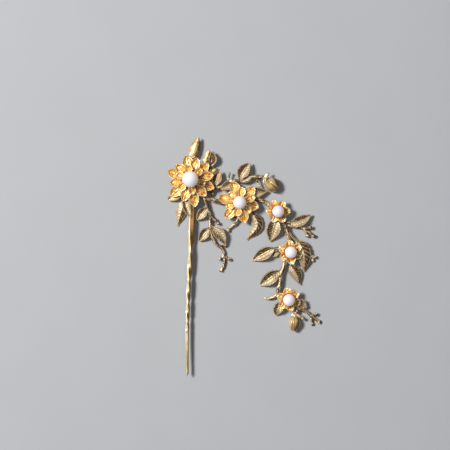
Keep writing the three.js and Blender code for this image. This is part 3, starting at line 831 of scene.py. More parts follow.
def petal_blank(reach, half_width, arch, bowl_depth, roundness, skirted, rng):
    """One petal along +X: an arched tongue, hollowed like a spoon inside its raised rim."""
    look = bpy.context.scene.hair_stick.petals
    blank = grid("petal_blank", 32, 52)
    places = coordinates(blank)
    v = places[:, 0]
    share = places[:, 1]
    pointed = np.sin(np.pi * np.clip(share**1.5, 0.0, 0.985)) ** 0.8
    rounded = np.sqrt(np.clip(1 - np.clip((share - 0.66) / 0.345, -1.0, 0.995) ** 2, 0, 1))
    # A skirted petal is broad enough at its root to run into its neighbours.
    if skirted:
        root = 1.25 * (1 - smooth_step(0.5, 0.84, share))
    else:
        root = (0.5 + 0.35 * roundness) * (1 - smooth_step(0.3, 0.75, share))
    outline = np.maximum(pointed * (1 - roundness) + rounded * roundness, root)
    half = half_width * np.maximum(outline, 0.03)
    length = reach - PETAL_ROOT
    x = PETAL_ROOT + length * share
    y = v * half
    edge = np.minimum((1 - np.abs(v)) * half * 0.95, (1 - share) * length * 0.8)
    rim_width = look.rim / MM
    rim = 1 - smooth_step(0.7, 1.15, edge / rim_width)
    if skirted:
        rim = rim * smooth_step(0.5, 0.75, share)
    bowl = smooth_step(rim_width * 0.7, 1.25, edge) * smooth_step(0.05, 0.35, share)
    # The bowl is ribbed along the petal and crazed all over.
    ribs = np.cos(v * half_width * 5.2)
    flat = np.stack([x, y, 0 * x], axis=1)
    skin = 0.6 * lumps(flat * (0.6, 1, 1), 0.85, rng.integers(1000))
    skin = skin + 0.4 * lumps(flat * (0.4, 1, 1), 0.32, 5)
    lift = arch * np.sin(np.pi * np.minimum(share * 0.9 + 0.05, 1.0))
    lift = lift + 0.25 * v**2 * smooth_step(0.1, 0.5, share)
    z = lift - bowl_depth * bowl + 0.05 * ribs * bowl + (skin - 0.5) * 0.5 * bowl + 0.16 * rim
    move_vertices(blank, np.stack([x, -y, z], axis=1))
    # The enamel lies deepest just inside the tip and at the root.
    depth = 0.74 - 0.24 * bowl + 1.5 * (skin - 0.5) + 0.14 * ribs * bowl
    depth = depth - 0.4 * hump(share, 0.86, 0.1) * bowl
    depth = depth - 0.5 * (1 - smooth_step(0.15, 0.5, share))
    set_attribute(blank, "relief_and_light", depth)
    set_attribute(blank, "rim", rim)
    return blank


def petal_layer(node, index):
    """Six petals stamped from one blank, each a little different, round a small disc."""
    look = bpy.context.scene.hair_stick.petals
    reaches, half_width, arch, disc_radius, turn, bowl, roundness = PETAL_LAYERS[node]
    rng = np.random.default_rng(40 + index)
    flower = node.split("_")[0]
    pearl_low, pearl_high = box_mm(f"{flower}_pearl")
    centre = (pearl_low + pearl_high) / 2
    bottom = box_mm(node)[0][2]
    small = flower not in ("main", "second")
    petals = []
    longest = max(reaches)
    blank = petal_blank(longest, half_width, arch, bowl, roundness, small, rng)
    for n, reach in enumerate(reaches):
        petal = copy_of(blank, "petal")
        heading = math.radians(turn + 60 * n)
        places = coordinates(petal)
        out = (places[:, 0] - PETAL_ROOT) / (longest - PETAL_ROOT)
        places[:, 0] *= reach / longest
        # Bent by hand: rolled to one side, drooped, waved and swung, more towards the tip.
        roll = rng.uniform(-0.14, 0.14) * smooth_step(0.2, 0.9, out)
        places[:, 2] += places[:, 1] * roll - rng.uniform(0.0, 0.3) * out**2
        places[:, 2] += rng.uniform(-0.1, 0.1) * np.sin(3 * out + rng.uniform(0, 6)) * np.abs(places[:, 1])
        places[:, 1] += rng.uniform(-0.35, 0.35) * out**2
        # The petals on the side away from the light keep deeper bowls; their enamel is painted deeper and
        # their rims crisper, as painted shade.
        away_from_light = smooth_step(-0.2, 0.9, math.cos(heading) * 0.8 - math.sin(heading) * 0.6)
        places[:, 2] *= 0.75 + 0.25 * away_from_light
        turned = np.empty_like(places)
        turned[:, 0] = places[:, 0] * math.cos(heading) - places[:, 1] * math.sin(heading) + centre[0]
        turned[:, 1] = places[:, 0] * math.sin(heading) + places[:, 1] * math.cos(heading) + centre[1]
        turned[:, 2] = places[:, 2] + bottom + PETAL_LIFT
        move_vertices(petal, turned)
        # Petal walls turned to the light are painted paler, as painted light.
        lit = smooth_step(0.2, 1.0, normals_of(petal) @ LIGHT_SIDE)
        set_attribute(petal, "relief_and_light", attribute_of(petal, "relief_and_light") + 0.4 * lit - 0.02 - 0.03 * away_from_light)
        set_attribute(petal, "rim", attribute_of(petal, "rim") * (0.35 + 0.65 * away_from_light))
        # A small flower's petals are worn bare towards their tips.
        if small:
            bare = np.maximum(attribute_of(petal, "rim"), 0.6 * smooth_step(0.62, 0.9, out))
            set_attribute(petal, "rim", bare)
            set_attribute(petal, "relief_and_light", attribute_of(petal, "relief_and_light") - 0.14)
        apply_modifier(petal, "SOLIDIFY", thickness=look.sheet / MM, offset=-1)
        petals.append(petal)
    discard(blank)
    petals.append(layer_disc(disc_radius, centre, bottom))
    if small:
        petals.append(enamel_cup(centre, bottom))
    whole = joined(petals, f"enamelled_{node}")
    return finished(whole, made_once(fired_enamel), "amber_enamel", node, smooth_angle=60)


def layer_disc(radius, centre, bottom):
    """The disc that joins a layer's petals."""
    bpy.ops.mesh.primitive_cylinder_add(
        vertices=40, radius=radius * 0.8, depth=0.5, location=(centre[0], centre[1], bottom + 0.27)
    )
    disc = bpy.context.object
    bpy.ops.object.transform_apply(location=True)
    # Dished a little inside a narrow edge.
    select_by(disc, lambda c, n: n.z > 0.9, "FACE")
    bpy.ops.mesh.inset(thickness=0.3)
    bpy.ops.transform.translate(value=(0, 0, -0.12))
    bpy.ops.object.mode_set(mode="OBJECT")
    apply_modifier(disc, "BEVEL", width=0.08, segments=2, limit_method="ANGLE", angle_limit=math.radians(40))
    count = len(disc.data.vertices)
    set_attribute(disc, "relief_and_light", np.full(count, 0.1))
    set_attribute(disc, "rim", np.zeros(count))
    return disc


def enamel_cup(centre, bottom):
    """The cup with a rolled lip that holds a small flower's pearl, spun from its wall's section."""
    mesh = bpy.data.meshes.new("enamel_cup")
    mesh.from_pydata(
        [(centre[0] + r, centre[1], bottom + z) for r, z in CUP_SECTION],
        [(k, (k + 1) % len(CUP_SECTION)) for k in range(len(CUP_SECTION))],
        [],
    )
    cup = bpy.data.objects.new("enamel_cup", mesh)
    bpy.context.collection.objects.link(cup)
    axis = {"center": (centre[0], centre[1], bottom), "axis": (0, 0, 1)}
    in_edit_mode(
        cup,
        lambda: bpy.ops.mesh.spin(steps=72, angle=2 * math.pi, use_auto_merge=True, **axis),
        lambda: bpy.ops.mesh.select_all(action="SELECT"),
        lambda: bpy.ops.mesh.remove_doubles(threshold=0.001),
        lambda: bpy.ops.mesh.normals_make_consistent(inside=False),
    )
    apply_modifier(cup, "SUBSURF", levels=1, render_levels=1)
    places = coordinates(cup)
    angle = np.arctan2(places[:, 1] - centre[1], places[:, 0] - centre[0])
    height = places[:, 2] - bottom
    skin = lumps(places, 0.5, 9)
    wavy = 1 + 0.018 * np.cos(12 * angle) * smooth_step(0.8, 1.8, height) + 0.03 * (skin - 0.5)
    places[:, :2] = centre[:2] + (places[:, :2] - centre[:2]) * wavy[:, None]
    move_vertices(cup, places)
    set_attribute(cup, "relief_and_light", 0.25 + 0.35 * smooth_step(1.0, 1.9, height) + 0.5 * (skin - 0.5))
    set_attribute(cup, "rim", 0.45 * smooth_step(1.82, 1.95, height))
    return cup


def pearl(flower):
    """A pearl, not quite true, drilled from below for its post."""
    node = f"{flower}_pearl"
    low, high = box_mm(node)
    centre = (low + high) / 2
    radius = (high[0] - low[0]) / 2
    bpy.ops.mesh.primitive_uv_sphere_add(segments=72, ring_count=48, radius=radius, location=tuple(centre))
    bead = bpy.context.object
    bead.name = f"nacre_{node}"
    bpy.ops.object.transform_apply(location=True)

    def under_post(place, _):
        return place.z < centre[2] and math.hypot(place.x - centre[0], place.y - centre[1]) < PEARL_HOLE * 0.9

    select_by(bead, under_post, "FACE")
    bpy.ops.mesh.extrude_region_move(TRANSFORM_OT_translate={"value": (0, 0, radius * 1.1)})
    bpy.ops.object.mode_set(mode="OBJECT")
    places = coordinates(bead)
    out = places - centre
    uneven = 1 - 0.012 * lumps(places, 3.2, radius)
    move_vertices(bead, centre + out * uneven[:, None])
    return finished(bead, made_once(pearl_nacre), "pearl", node, smooth_angle=60)


# ---------------------------------------------------------------- stems

STEM_NODES = [
    "stem_crown",
    "stem_upper_twig",
    "stem_main_to_second",
    "stem_second_to_third",
    "stem_third_to_fourth",
    "stem_fourth_to_fifth",
    "bud_stem",
    "hanging_stem",
    "twig_below_second",
    "twig_right_of_third",
    "twig_right_of_fourth",
    "tendril_left_of_fifth",
    "twig_end",
]


SOLDER_GROWTH = 0.07  # how far a stem is grown into the solder round it


def rough_bark(piece, seed, height, polished):
    """Raises bark on a cast piece, less where it is polished, and marks its high and low places, with the
    side turned to the light painted brighter and less brown, as painted light.
    """
    places = coordinates(piece)
    normal = normals_of(piece)
    # The bark's grain runs along the piece's own length.
    along = np.linalg.eigh(np.cov(places.T))[1][:, 2]
    drawn_out = places - 0.68 * np.outer(places @ along, along)
    plates = 1 - ridges(drawn_out, 0.85, seed)
    cracks = 1 - ridges(drawn_out, 0.42, seed + 1)
    crumbs = lumps(places, 0.32, seed + 3)
    knots = smooth_step(0.6, 0.85, lumps(places, 1.9, seed + 2))
    bark = smooth_step(0.0, 0.75, 0.45 * plates + 0.3 * cracks + 0.25 * crumbs)
    push = (height * (bark - 0.5) * 1.5 + 0.22 * knots) * (1 - 0.8 * polished)
    move_vertices(piece, places + normal * push[:, None])
    # Faces turned to the light are painted brighter and less brown: painted light.
    lit = normals_of(piece) @ LIGHT_SIDE
    relief_and_light = (1.7 - 0.9 * polished) * (bark - 0.5) + 0.22 + 0.3 * knots + 0.45 * lit + 0.45 * polished
    set_attribute(piece, "relief_and_light", relief_and_light)
    set_attribute(piece, "wash_and_shade", 0.98 - 0.15 * smooth_step(0.3, 0.95, lit))


# The sepals spread from the cups under the two buds: the piece they are cast with, their midribs and widths.
SEPALS = {
    "bud_stem": [
        ([(37.3, 0.7, 4.3), (38.3, 2.3, 4.6), (39.2, 3.5, 4.4)], 1.9),
        ([(37.2, 0.6, 4.4), (36.9, -1.0, 4.3), (36.7, -2.4, 3.9)], 1.6),
    ],
    "twig_end": [
        ([(52.6, -67.4, 3.7), (54.4, -68.3, 3.9), (56.1, -69.3, 3.6)], 1.5),
        ([(52.4, -67.2, 3.8), (51.2, -67.5, 3.9), (50.4, -68.3, 3.7)], 1.5),
    ],
}


def sepal(points, width):
    """A small pointed scale, ridged along its middle."""
    scale = grid("sepal", 12, 28)
    places = coordinates(scale)
    v, share = places[:, 0], places[:, 1]
    half = width / 2 * np.maximum(np.sin(np.pi * np.minimum(share**0.8 * 0.9 + 0.08, 1.0)) ** 0.7, 0.06)
    centre, across, above = Route(points).at(share)
    rise = 0.1 - 0.28 * half * v**2 + 0.1 * hump(v, 0, 0.2)
    move_vertices(scale, centre + across * (v * half)[:, None] + above * rise[:, None])
    apply_modifier(scale, "SOLIDIFY", thickness=0.45, offset=-1)
    return scale


def cast_stem(node, seed):
    """A stem cast in one with its side shoots, rounded and barked from its CAD solid."""
    look = bpy.context.scene.hair_stick.casting
    piece = cad_copy(node, f"cast_{node}")
    if node in SEPALS:
        piece = joined([piece, *(sepal(*spec) for spec in SEPALS[node])], piece.name)
    apply_modifier(piece, "REMESH", mode="VOXEL", voxel_size=look.voxel / MM)
    apply_modifier(piece, "SMOOTH", factor=0.5, iterations=4)
    move_vertices(piece, coordinates(piece) + normals_of(piece) * SOLDER_GROWTH)
    polished = np.full(len(piece.data.vertices), 0.7 if node.startswith("tendril") else 0.0)
    for points, width in SEPALS.get(node, ()):
        midrib = Route(points).points[::20]
        away = np.min(np.linalg.norm(coordinates(piece)[:, None] - midrib[None], axis=2), axis=1)
        polished = np.maximum(polished, 1 - smooth_step(0.4 * width, 0.8 * width, away))
    rough_bark(piece, seed, look.bark / MM, polished)
    return finished(piece, made_once(washed_casting), "antique_gold", node, smooth_angle=75)


# ---------------------------------------------------------------- leaves

# The centres of the five flowers.
MAIN = (0, 0)
SECOND = (24.5, -11.4)
THIRD = (43.6, -15.9)
FOURTH = (49.9, -36.2)
FIFTH = (49.0, -59.9)


def around(flower, *offsets):
    """Places given from a flower's centre."""
    return [(flower[0] + x, flower[1] + y, z) for x, y, z in offsets]


def side(flower, radius, heading, z=2.8):
    """A place on the side of a flower's seat."""
    angle = math.radians(heading)
    return (flower[0] + radius * math.cos(angle), flower[1] + radius * math.sin(angle), z)


# Each leaf's midrib from root to tip, its width, its fold (up from the midrib, or down where negative),
# and the share of its length that is stalk.
LEAVES = {
    "leaf_crown": (
        [(0.95, 9.4, 3.2), (1.3, 12.4, 3.6), (2.4, 16.4, 3.8), (4.1, 21.1, 3.3)],
        5.3, -1, 0.1,
    ),
    "leaf_upper_slim": (
        [(6.6, 5.2, 2.8), (7.2, 8.2, 3.0), (8.1, 11.2, 3.3), (9.5, 14.9, 3.3)],
        2.9, -1, 0.3,
    ),
    "leaf_upper_hollow": (
        [(8.2, 6.1, 3.0), (10.0, 7.6, 3.0), (11.1, 10.2, 3.1), (10.6, 14.0, 3.3)],
        3.8, 1, 0.2,
    ),
    "leaf_upper_curl": (
        [(7.4, 5.6, 2.5), (8.9, 4.8, 2.2), (11.0, 4.9, 2.4), (12.8, 5.4, 3.2)],
        3.0, 1, 0.3,
    ),
    "leaf_inner_upright": (
        [(12.9, -4.1, 2.6), (12.7, -2.0, 3.0), (13.2, 0.8, 3.4), (14.7, 4.5, 3.4)],
        4.7, 1, 0.14,
    ),
    "leaf_second_left": (
        [(21.2, -0.9, 2.8), (20.0, -2.3, 3.7), (17.8, -3.3, 3.9), (15.1, -4.8, 3.9)],
        4.2, 0.5, 0.1,
    ),
    "leaf_second_top": (
        [(24.2, -0.5, 2.8), (24.8, 1.2, 3.4), (26.6, 4.4, 3.9), (29.6, 8.4, 3.3)],
        5.5, 1, 0.12,
    ),
    "leaf_second_right": (
        [side(SECOND, 1.8, 54, 3.3), *around(SECOND, (4.4, 4.2, 3.6), (7.8, 5.0, 3.6), (13.7, 5.5, 2.8))],
        4.9, 0.5, 0.26,
    ),
    "leaf_second_low": (
        [
            side(SECOND, 1.8, -46, 2.6),
            *around(SECOND, (6.2, -5.2, 3.0), (8.9, -11.4, 2.8), (3.7, -18.7, 0.5)),
        ],
        6.0, -1, 0.26,
    ),
    "leaf_third_low": (
        [side(THIRD, 1.8, -108), *around(THIRD, (-1.6, -6.4, 3.3), (-3.7, -14.9, 1.2))],
        6.5, 1, 0.14,
    ),
    "leaf_third_right": (
        [(46.4, -20.4, 2.8), (48.9, -21.2, 3.0), (53.2, -21.2, 3.3), (60.4, -17.7, 2.2)],
        4.8, 1, 0.24,
    ),
    "leaf_fourth_left": (
        [side(FOURTH, 1.8, 166), *around(FOURTH, (-6.4, 2.3, 3.0), (-9.2, 1.3, 3.3), (-19.1, -4.2, 0.8))],
        5.6, 1, 0.34,
    ),
    "leaf_fourth_bract": (
        [side(FOURTH, 1.8, 192, 2.4), *around(FOURTH, (-6.2, -0.3, 2.2), (-9.4, -2.2, 1.8))],
        2.6, 0.6, 0.45,
    ),
    "leaf_fourth_right": (
        [(48.7, -25.6, 2.8), (51.4, -29.2, 3.2), (55.3, -33.2, 3.7), (56.8, -39.2, 3.8), (56.9, -45.9, 1.0)],
        7.6, -0.7, 0.26,
    ),
    "leaf_stem_left": (
        [(45.3, -45.0, 2.8), (43.0, -46.8, 3.0), (39.8, -49.2, 3.2), (34.6, -52.9, 0.9)],
        5.8, 1, 0.08,
    ),
    "leaf_stem_right": (
        [side(FOURTH, 1.8, -74), *around(FOURTH, (0.3, -6.6, 3.2), (3.1, -11.4, 3.2), (4.6, -16.1, 1.6))],
        6.0, -1, 0.3,
    ),
    "leaf_fifth_left": (
        [side(FIFTH, 1.8, 214), *around(FIFTH, (-4.2, -3.0, 2.8), (-5.4, -5.2, 2.8), (-6.1, -8.0, 1.0))],
        4.5, 0.7, 0.16,
    ),
    "leaf_fifth_right": (
        [side(FIFTH, 1.8, -16, 3.0), *around(FIFTH, (5.2, -1.8, 3.2), (9.0, -3.9, 2.8))],
        4.7, 0.6, 0.25,
    ),
    "leaf_hanging_top": ([(8.7, -13.6, 2.6), (6.4, -16.2, 2.8), (3.2, -20.1, 2.0)], 4.4, 1, 0.12),
    "leaf_hanging_left": ([(9.8, -23.4, 2.3), (7.5, -26.4, 2.6), (4.3, -30.7, 1.4)], 4.4, 1, 0.12),
    "leaf_hanging_right": (
        [(10.0, -23.0, 2.5), (12.0, -24.8, 3.2), (14.8, -27.6, 3.6), (17.5, -32.2, 2.8)],
        5.2, 0.6, 0.1,
    ),
    "leaf_main_low": (
        [side(MAIN, 3.7, -127, 1.9), (-3.1, -8.4, 1.9), (-4.4, -14.6, 2.2), (-6.6, -23.2, 0.5)],
        5.4, -0.8, 0.36,
    ),
    "leaf_main_over_stick": (
        [side(MAIN, 3.7, -114, 3.2), (-2.6, -8.6, 3.4), (-1.9, -13.4, 4.6), (-0.1, -18.9, 5.1)],
        3.7, 1, 0.34,
    ),
    "leaf_main_left": (
        [side(MAIN, 3.7, -139, 2.8), (-6.2, -7.1, 2.8), (-11.0, -10.2, 1.6)],
        3.8, 1, 0.3,
    ),
}
# Leaves whose veins are rubbed smooth and bright, and the one cast as a rimmed hollow.
PLAIN_LEAVES = ("leaf_crown", "leaf_upper_slim", "leaf_main_left", "leaf_upper_curl")
HOLLOW_LEAVES = ("leaf_upper_hollow",)
STALK = 0.2  # how far below zero the blank's stalk reaches
VEINS = 9  # side veins in each half
LEAF_FOLD = 0.5  # rise for each millimetre from the midrib, in a leaf whose fold is 1


def leaf_blank():
    """A flat leaf with its midrib, swept side veins and beaded margin raised, and a short stalk."""
    look = bpy.context.scene.hair_stick.casting
    blank = grid("leaf_blank", 28, 96)
    places = coordinates(blank)
    v = places[:, 0]
    u = places[:, 1] * (1 + STALK) - STALK
    away = np.abs(v)
    swept = (u - 0.17 * away) * VEINS
    near = np.abs(swept - np.round(swept)) / VEINS
    blade = smooth_step(0.0, 0.08, u)
    vein = hump(near, 0, 0.018) * smooth_step(0.05, 0.16, away) * blade * (1 - smooth_step(0.88, 0.97, u))
    midrib = hump(v, 0, 0.1)
    margin = smooth_step(0.80, 0.92, away) * blade
    bead = 0.75 + 0.25 * np.cos(2 * math.pi * swept)
    tip = smooth_step(0.9, 0.97, u)
    height = look.vein / MM * vein * (1 - margin) + 0.2 * midrib + 0.16 * margin * bead * (1 - tip)
    height += 0.28 * (1 - v**2) * (1 - blade)
    tooth = np.mod((u - 0.17) * VEINS, 1.0)
    move_vertices(blank, np.stack([v, u, height], axis=1))
    set_attribute(blank, "relief_and_light", 0.1 + 0.9 * np.maximum.reduce([0.6 * vein, midrib, margin * bead, tip]))
    set_attribute(blank, "tooth", tooth)
    return blank


def leaf(node, blank, seed):
    """Sets a copy of the blank on its midrib, folds it, gives it thickness, and paints its half turned from
    the light darker brown, as painted shade.
    """
    look = bpy.context.scene.hair_stick.casting
    points, width, fold, stalk = LEAVES[node]
    piece = copy_of(blank, f"cast_{node}")
    places = coordinates(piece)
    v, u, height = places.T
    away = np.abs(v)
    blade = np.clip(u, 0, 1)
    if node in PLAIN_LEAVES:
        height = height * 0.35
        crinkles = lumps(places * (2.2, 4, 1), 0.4, seed) - 0.5
        height = height + 0.16 * crinkles
        set_attribute(piece, "relief_and_light", 0.66 + 0.7 * crinkles)
    if node in HOLLOW_LEAVES:
        rim = smooth_step(0.62, 0.82, away) * smooth_step(0, 0.1, blade)
        ridge = 0.6 * hump(v, -0.18, 0.16) * smooth_step(0.1, 0.3, blade)
        height = 0.4 * np.maximum(rim, ridge)
        tip = smooth_step(0.86, 0.94, blade)
        set_attribute(piece, "relief_and_light", 0.1 + 0.9 * np.maximum.reduce([rim, ridge, tip]))
    share = np.where(u < 0, stalk * (u + STALK) / STALK, stalk + (1 - stalk) * blade)
    tooth = attribute_of(piece, "tooth")
    piece.data.attributes.remove(piece.data.attributes["tooth"])
    swell = np.sin(np.pi * np.minimum(0.97, blade**0.8)) ** (0.7 if node in PLAIN_LEAVES else 1.0)
    half = np.maximum.reduce([width / 2 * swell, 0.4 * (1 - blade), np.full(len(u), 0.15)])
    half = half * (1 + 0.10 * (tooth - 0.6) * smooth_step(0.08, 0.2, blade))
    offset = v * half
    # The halves rise or fall from the midrib, each a little bowed.
    lift = fold * LEAF_FOLD * np.abs(offset) * np.minimum(1, 3 * blade)
    camber = 0.13 * half * np.sin(np.pi * away) * np.sign(fold) * smooth_step(0.05, 0.3, blade)
    wave = 0.12 * np.sin(9 * blade + seed) * away**2 * swell  # along the margins
    centre, across, above = Route(points).at(share)
    rough = 0.07 * (lumps(centre + across * offset[:, None], 0.8, seed) - 0.5)
    rise = lift - camber + wave + 0.25 + height + rough
    placed = centre + across * offset[:, None] + above * rise[:, None]
    move_vertices(piece, placed)
    # The half turned from the light is painted darker brown: painted shade.
    turned_from_light = np.sign(v) * (across @ LIGHT_SIDE) * np.sign(fold)
    wash_and_shade = 0.32 + 0.66 * smooth_step(-0.2, 0.3, turned_from_light)
    # On the smooth leaves the half turned from the light is also painted darker towards its margin, as
    # painted shade.
    if node in PLAIN_LEAVES:
        shaded = smooth_step(0.2, 0.95, away) * smooth_step(-0.2, 0.3, turned_from_light)
        set_attribute(piece, "relief_and_light", attribute_of(piece, "relief_and_light") - 0.6 * shaded)
    if node in HOLLOW_LEAVES:
        wash_and_shade = np.full(len(v), 0.96)
    set_attribute(piece, "wash_and_shade", wash_and_shade)
    apply_modifier(piece, "SOLIDIFY", thickness=look.leaf_thickness / MM, offset=-1)
    apply_modifier(piece, "BEVEL", width=0.07, segments=1, limit_method="ANGLE", angle_limit=math.radians(60))
    finish = made_once(rubbed_casting if node in PLAIN_LEAVES else washed_casting)
    return finished(piece, finish, "antique_gold", node, smooth_angle=50)


# ---------------------------------------------------------------- buds

# Each bud's neck, the size of its cup, the heading it points along, its length and width, and its wrapped
# petals: where each is centred round the bud (up is zero), half its span, how far it stands out and ends.
BUDS = {
    "bud_upper": {
        "neck": (37.2, 0.6, 3.9),
        "cup": 1.8,
        "heading": -40,
        "length": 7.6,
        "width": 7.4,
        "petals": [(-66, 62, 0.7, 0.93), (72, 68, 0.3, 1.0), (178, 80, 0.3, 0.92)],
    },
    "bud_lower": {
        "neck": (52.3, -67.2, 3.0),
        "cup": 1.5,
        "heading": -97,
        "length": 7.6,
        "width": 5.9,
        "petals": [(-84, 60, 0.35, 0.98), (50, 64, 0.7, 0.99), (165, 70, 0.3, 0.95)],
    },
}


def rose_bud(node):
    """A closed bud: petals wrapped over one another, with dark seams between them."""
    spec = BUDS[node]
    bpy.ops.mesh.primitive_uv_sphere_add(segments=112, ring_count=80, radius=1)
    piece = bpy.context.object
    piece.name = f"cast_{node}"
    places = coordinates(piece)
    share = (places[:, 2] + 1) / 2
    theta = np.arctan2(places[:, 1], places[:, 0])
    swell = np.sin(np.pi * np.clip(share, 0.0005, 0.9995) ** 0.85) ** 0.6
    tapered = swell * (1 - 0.1 * smooth_step(0.5, 1.0, share))
    raised = np.zeros(len(share))
    seam = np.ones(len(share))
    ridge = np.zeros(len(share))
    # Each wrapped petal stands out over the ones under it, with a lip along its edge and a seam outside it.
    for middle, span, height, end in spec["petals"]:
        gap = np.degrees(np.abs(np.angle(np.exp(1j * (theta - math.radians(middle))))))
        reach = span * np.sqrt(np.clip(1 - (share / end) ** 6, 0, 1))
        inside = smooth_step(-5, 5, reach - gap)
        lip = hump(reach - gap, 6, 6)
        rise = height * inside * (0.5 + 0.85 * lip)
        outside = hump(gap - reach, 5, 5) * (rise + 0.05 >= raised)
        seam = np.minimum(seam, 1 - 0.75 * outside)
        ridge = np.maximum(ridge, inside * lip)
        seam = np.maximum(seam, inside * lip)
        raised = np.maximum(raised, rise)
    streaks = 0.1 * (ridges(np.stack([2.2 * theta, 0.35 * share, 0 * share], axis=1), 0.5, 7) - 0.5)
    grown = spec["width"] / 2 * tapered * 0.93
    radius = np.maximum(0.02, grown + (raised - 0.28 + streaks) * smooth_step(0.0, 0.2, swell))
    heading = math.radians(spec["heading"])
    axis = np.array([math.cos(heading), math.sin(heading), 0])
    left = np.array([-math.sin(heading), math.cos(heading), 0])
    base = np.array(spec["neck"]) + axis * spec["cup"] * 0.6
    length = spec["length"] * 1.01
    placed = (
        base
        + axis * (share * length)[:, None]
        + left * (radius * np.sin(theta))[:, None]
        + UP * (radius * np.cos(theta))[:, None]
    )
    placed += (lumps(placed, 0.6, 4)[:, None] - 0.5) * 0.06
    move_vertices(piece, placed)
    in_edit_mode(piece, lambda: bpy.ops.mesh.normals_make_consistent(inside=False))
    # Faces turned to the light are painted brighter: painted light.
    lit = normals_of(piece) @ LIGHT_SIDE
    facing_light = smooth_step(0.1, 0.9, lit)
    # The side turned from the light is painted with a thin brown shade between its bright lips: painted
    # shade.
    away_from_light = smooth_step(0.15, 0.75, np.sin(theta)) * (1 - ridge)
    set_attribute(piece, "relief_and_light", seam * (0.36 + 3 * streaks + 0.66 * facing_light) + 0.75 * ridge - 0.34 * away_from_light)
    set_attribute(piece, "wash_and_shade", 0.6 + 0.3 * away_from_light + 0.37 * (1 - smooth_step(0.3, 0.8, seam)) - 0.25 * ridge)
    return finished(piece, made_once(rubbed_casting), "antique_gold", node, smooth_angle=75)


# ---------------------------------------------------------------- stage

FIELD = 0.225  # width of what the camera sees at the stems' height
VIEW_CENTRE = (17.25 * MM, -22.65 * MM)


def area_light(name, place, target, size, power, colour):
    lamp = bpy.data.lights.new(name, "AREA")
    lamp.shape = "DISK"
    lamp.size = size
    lamp.energy = power
    lamp.color = colour
    holder = bpy.data.objects.new(name, lamp)
    holder.location = place
    direction = Vector(target) - Vector(place)
    holder.rotation_euler = direction.to_track_quat("-Z", "Y").to_euler()
    bpy.context.collection.objects.link(holder)


def build_stage():
    look = bpy.context.scene.hair_stick.stage
    bpy.ops.object.select_all(action="DESELECT")
    bpy.ops.mesh.primitive_plane_add(size=3, location=(VIEW_CENTRE[0], VIEW_CENTRE[1], 0))
    floor = bpy.context.object
    floor.name = "studio_floor"
    floor.data.materials.append(made_once(studio_floor))
    middle = (VIEW_CENTRE[0], VIEW_CENTRE[1], 0)
    area_light("key", (-0.82, 0.34, 1.28), middle, 0.38, look.key_power, (1.0, 0.985, 0.96))
    area_light("overhead", (0.10, 0.10, 1.6), middle, 0.6, look.fill_power, (0.97, 0.98, 1.0))
    world = bpy.data.worlds.new("soft_room")
    bpy.context.scene.world = world
    world.use_nodes = True
    world.node_tree.nodes["Background"].inputs["Color"].default_value = (0.93, 0.95, 1.0, 1)
    world.node_tree.nodes["Background"].inputs["Strength"].default_value = 0.10
    camera = bpy.data.cameras.new("camera")
    camera.lens = 120
    camera.sensor_width = 36
    camera.clip_start = 0.01
    holder = bpy.data.objects.new("camera", camera)
    holder.location = (*VIEW_CENTRE, 3 * MM + FIELD * camera.lens / camera.sensor_width)
    bpy.context.collection.objects.link(holder)
    bpy.context.scene.camera = holder
    bpy.context.scene.view_settings.view_transform = "Standard"


# ---------------------------------------------------------------- operators


class HAIRSTICK_OT_stage(bpy.types.Operator):
    """Set up the pale floor, the soft lights and the camera above the branch"""

    bl_idname = "hair_stick.stage"
    bl_label = "Set Up Stage"

    def execute(self, context):
        build_stage()
        return {"FINISHED"}


class HAIRSTICK_OT_stick(bpy.types.Operator):
    """Forge the twisted, hammered stick"""

    bl_idname = "hair_stick.stick"
    bl_label = "Forge Stick"

    def execute(self, context):
        hair_stick()
        return {"FINISHED"}


class HAIRSTICK_OT_seats(bpy.types.Operator):
    """Turn the boss and the flower seats with their posts"""

    bl_idname = "hair_stick.seats"
    bl_label = "Turn Seats"

    def execute(self, context):
        for node in SEATS:
            flower_seat(node)
        return {"FINISHED"}


class HAIRSTICK_OT_petals(bpy.types.Operator):
    """Stamp and enamel every layer of petals"""

    bl_idname = "hair_stick.petals"
    bl_label = "Stamp Petals"

    def execute(self, context):
        for index, node in enumerate(PETAL_LAYERS):
            petal_layer(node, index)
        return {"FINISHED"}


class HAIRSTICK_OT_pearls(bpy.types.Operator):
    """Drill and set the five pearls"""

    bl_idname = "hair_stick.pearls"
    bl_label = "Set Pearls"

    def execute(self, context):
        for flower in ("main", "second", "third", "fourth", "fifth"):
            pearl(flower)
        return {"FINISHED"}


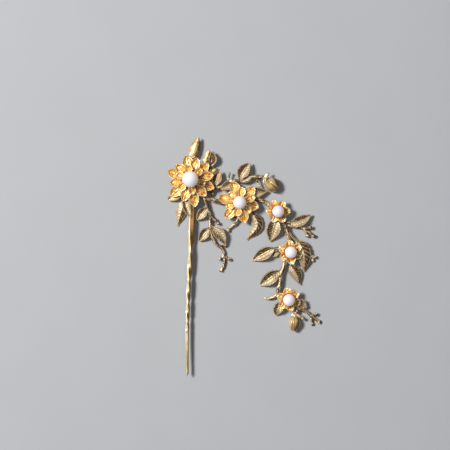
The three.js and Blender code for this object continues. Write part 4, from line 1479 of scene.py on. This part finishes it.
class HAIRSTICK_OT_stems(bpy.types.Operator):
    """Cast the barked stems, twigs and tendril"""

    bl_idname = "hair_stick.stems"
    bl_label = "Cast Stems"

    def execute(self, context):
        for seed, node in enumerate(STEM_NODES):
            cast_stem(node, 3 * seed)
        return {"FINISHED"}


class HAIRSTICK_OT_leaves(bpy.types.Operator):
    """Cast the leaves from one blank and fold each on its own midrib"""

    bl_idname = "hair_stick.leaves"
    bl_label = "Cast Leaves"

    def execute(self, context):
        blank = leaf_blank()
        for seed, node in enumerate(LEAVES):
            leaf(node, blank, seed)
        discard(blank)
        return {"FINISHED"}


class HAIRSTICK_OT_buds(bpy.types.Operator):
    """Cast the two closed buds"""

    bl_idname = "hair_stick.buds"
    bl_label = "Cast Buds"

    def execute(self, context):
        for node in BUDS:
            rose_bud(node)
        return {"FINISHED"}


STEPS = (
    HAIRSTICK_OT_stage,
    HAIRSTICK_OT_stick,
    HAIRSTICK_OT_seats,
    HAIRSTICK_OT_petals,
    HAIRSTICK_OT_pearls,
    HAIRSTICK_OT_stems,
    HAIRSTICK_OT_leaves,
    HAIRSTICK_OT_buds,
)


class HAIRSTICK_PT_panel(bpy.types.Panel):
    """Lists the steps that make the hair stick and their settings"""

    bl_idname = "HAIRSTICK_PT_panel"
    bl_label = "Hair Stick"
    bl_space_type = "VIEW_3D"
    bl_region_type = "UI"
    bl_category = "Hair Stick"

    def draw(self, context):
        settings = context.scene.hair_stick
        for step in STEPS:
            self.layout.operator(step.bl_idname)
        for group in (settings.stick, settings.casting, settings.petals, settings.pearls, settings.stage):
            box = self.layout.box()
            for key in group.__annotations__:
                box.prop(group, key)


SETTINGS = (StickSettings, CastingSettings, PetalSettings, PearlSettings, StageSettings, HairStickSettings)


def register():
    for part in (*SETTINGS, *STEPS, HAIRSTICK_PT_panel):
        bpy.utils.register_class(part)
    bpy.types.Scene.hair_stick = bpy.props.PointerProperty(type=HairStickSettings)


def unregister():
    del bpy.types.Scene.hair_stick
    for part in reversed((*SETTINGS, *STEPS, HAIRSTICK_PT_panel)):
        bpy.utils.unregister_class(part)


def main():
    register()
    for step in STEPS:
        group, name = step.bl_idname.split(".")
        getattr(getattr(bpy.ops, group), name)()


if __name__ == "__main__":
    main()
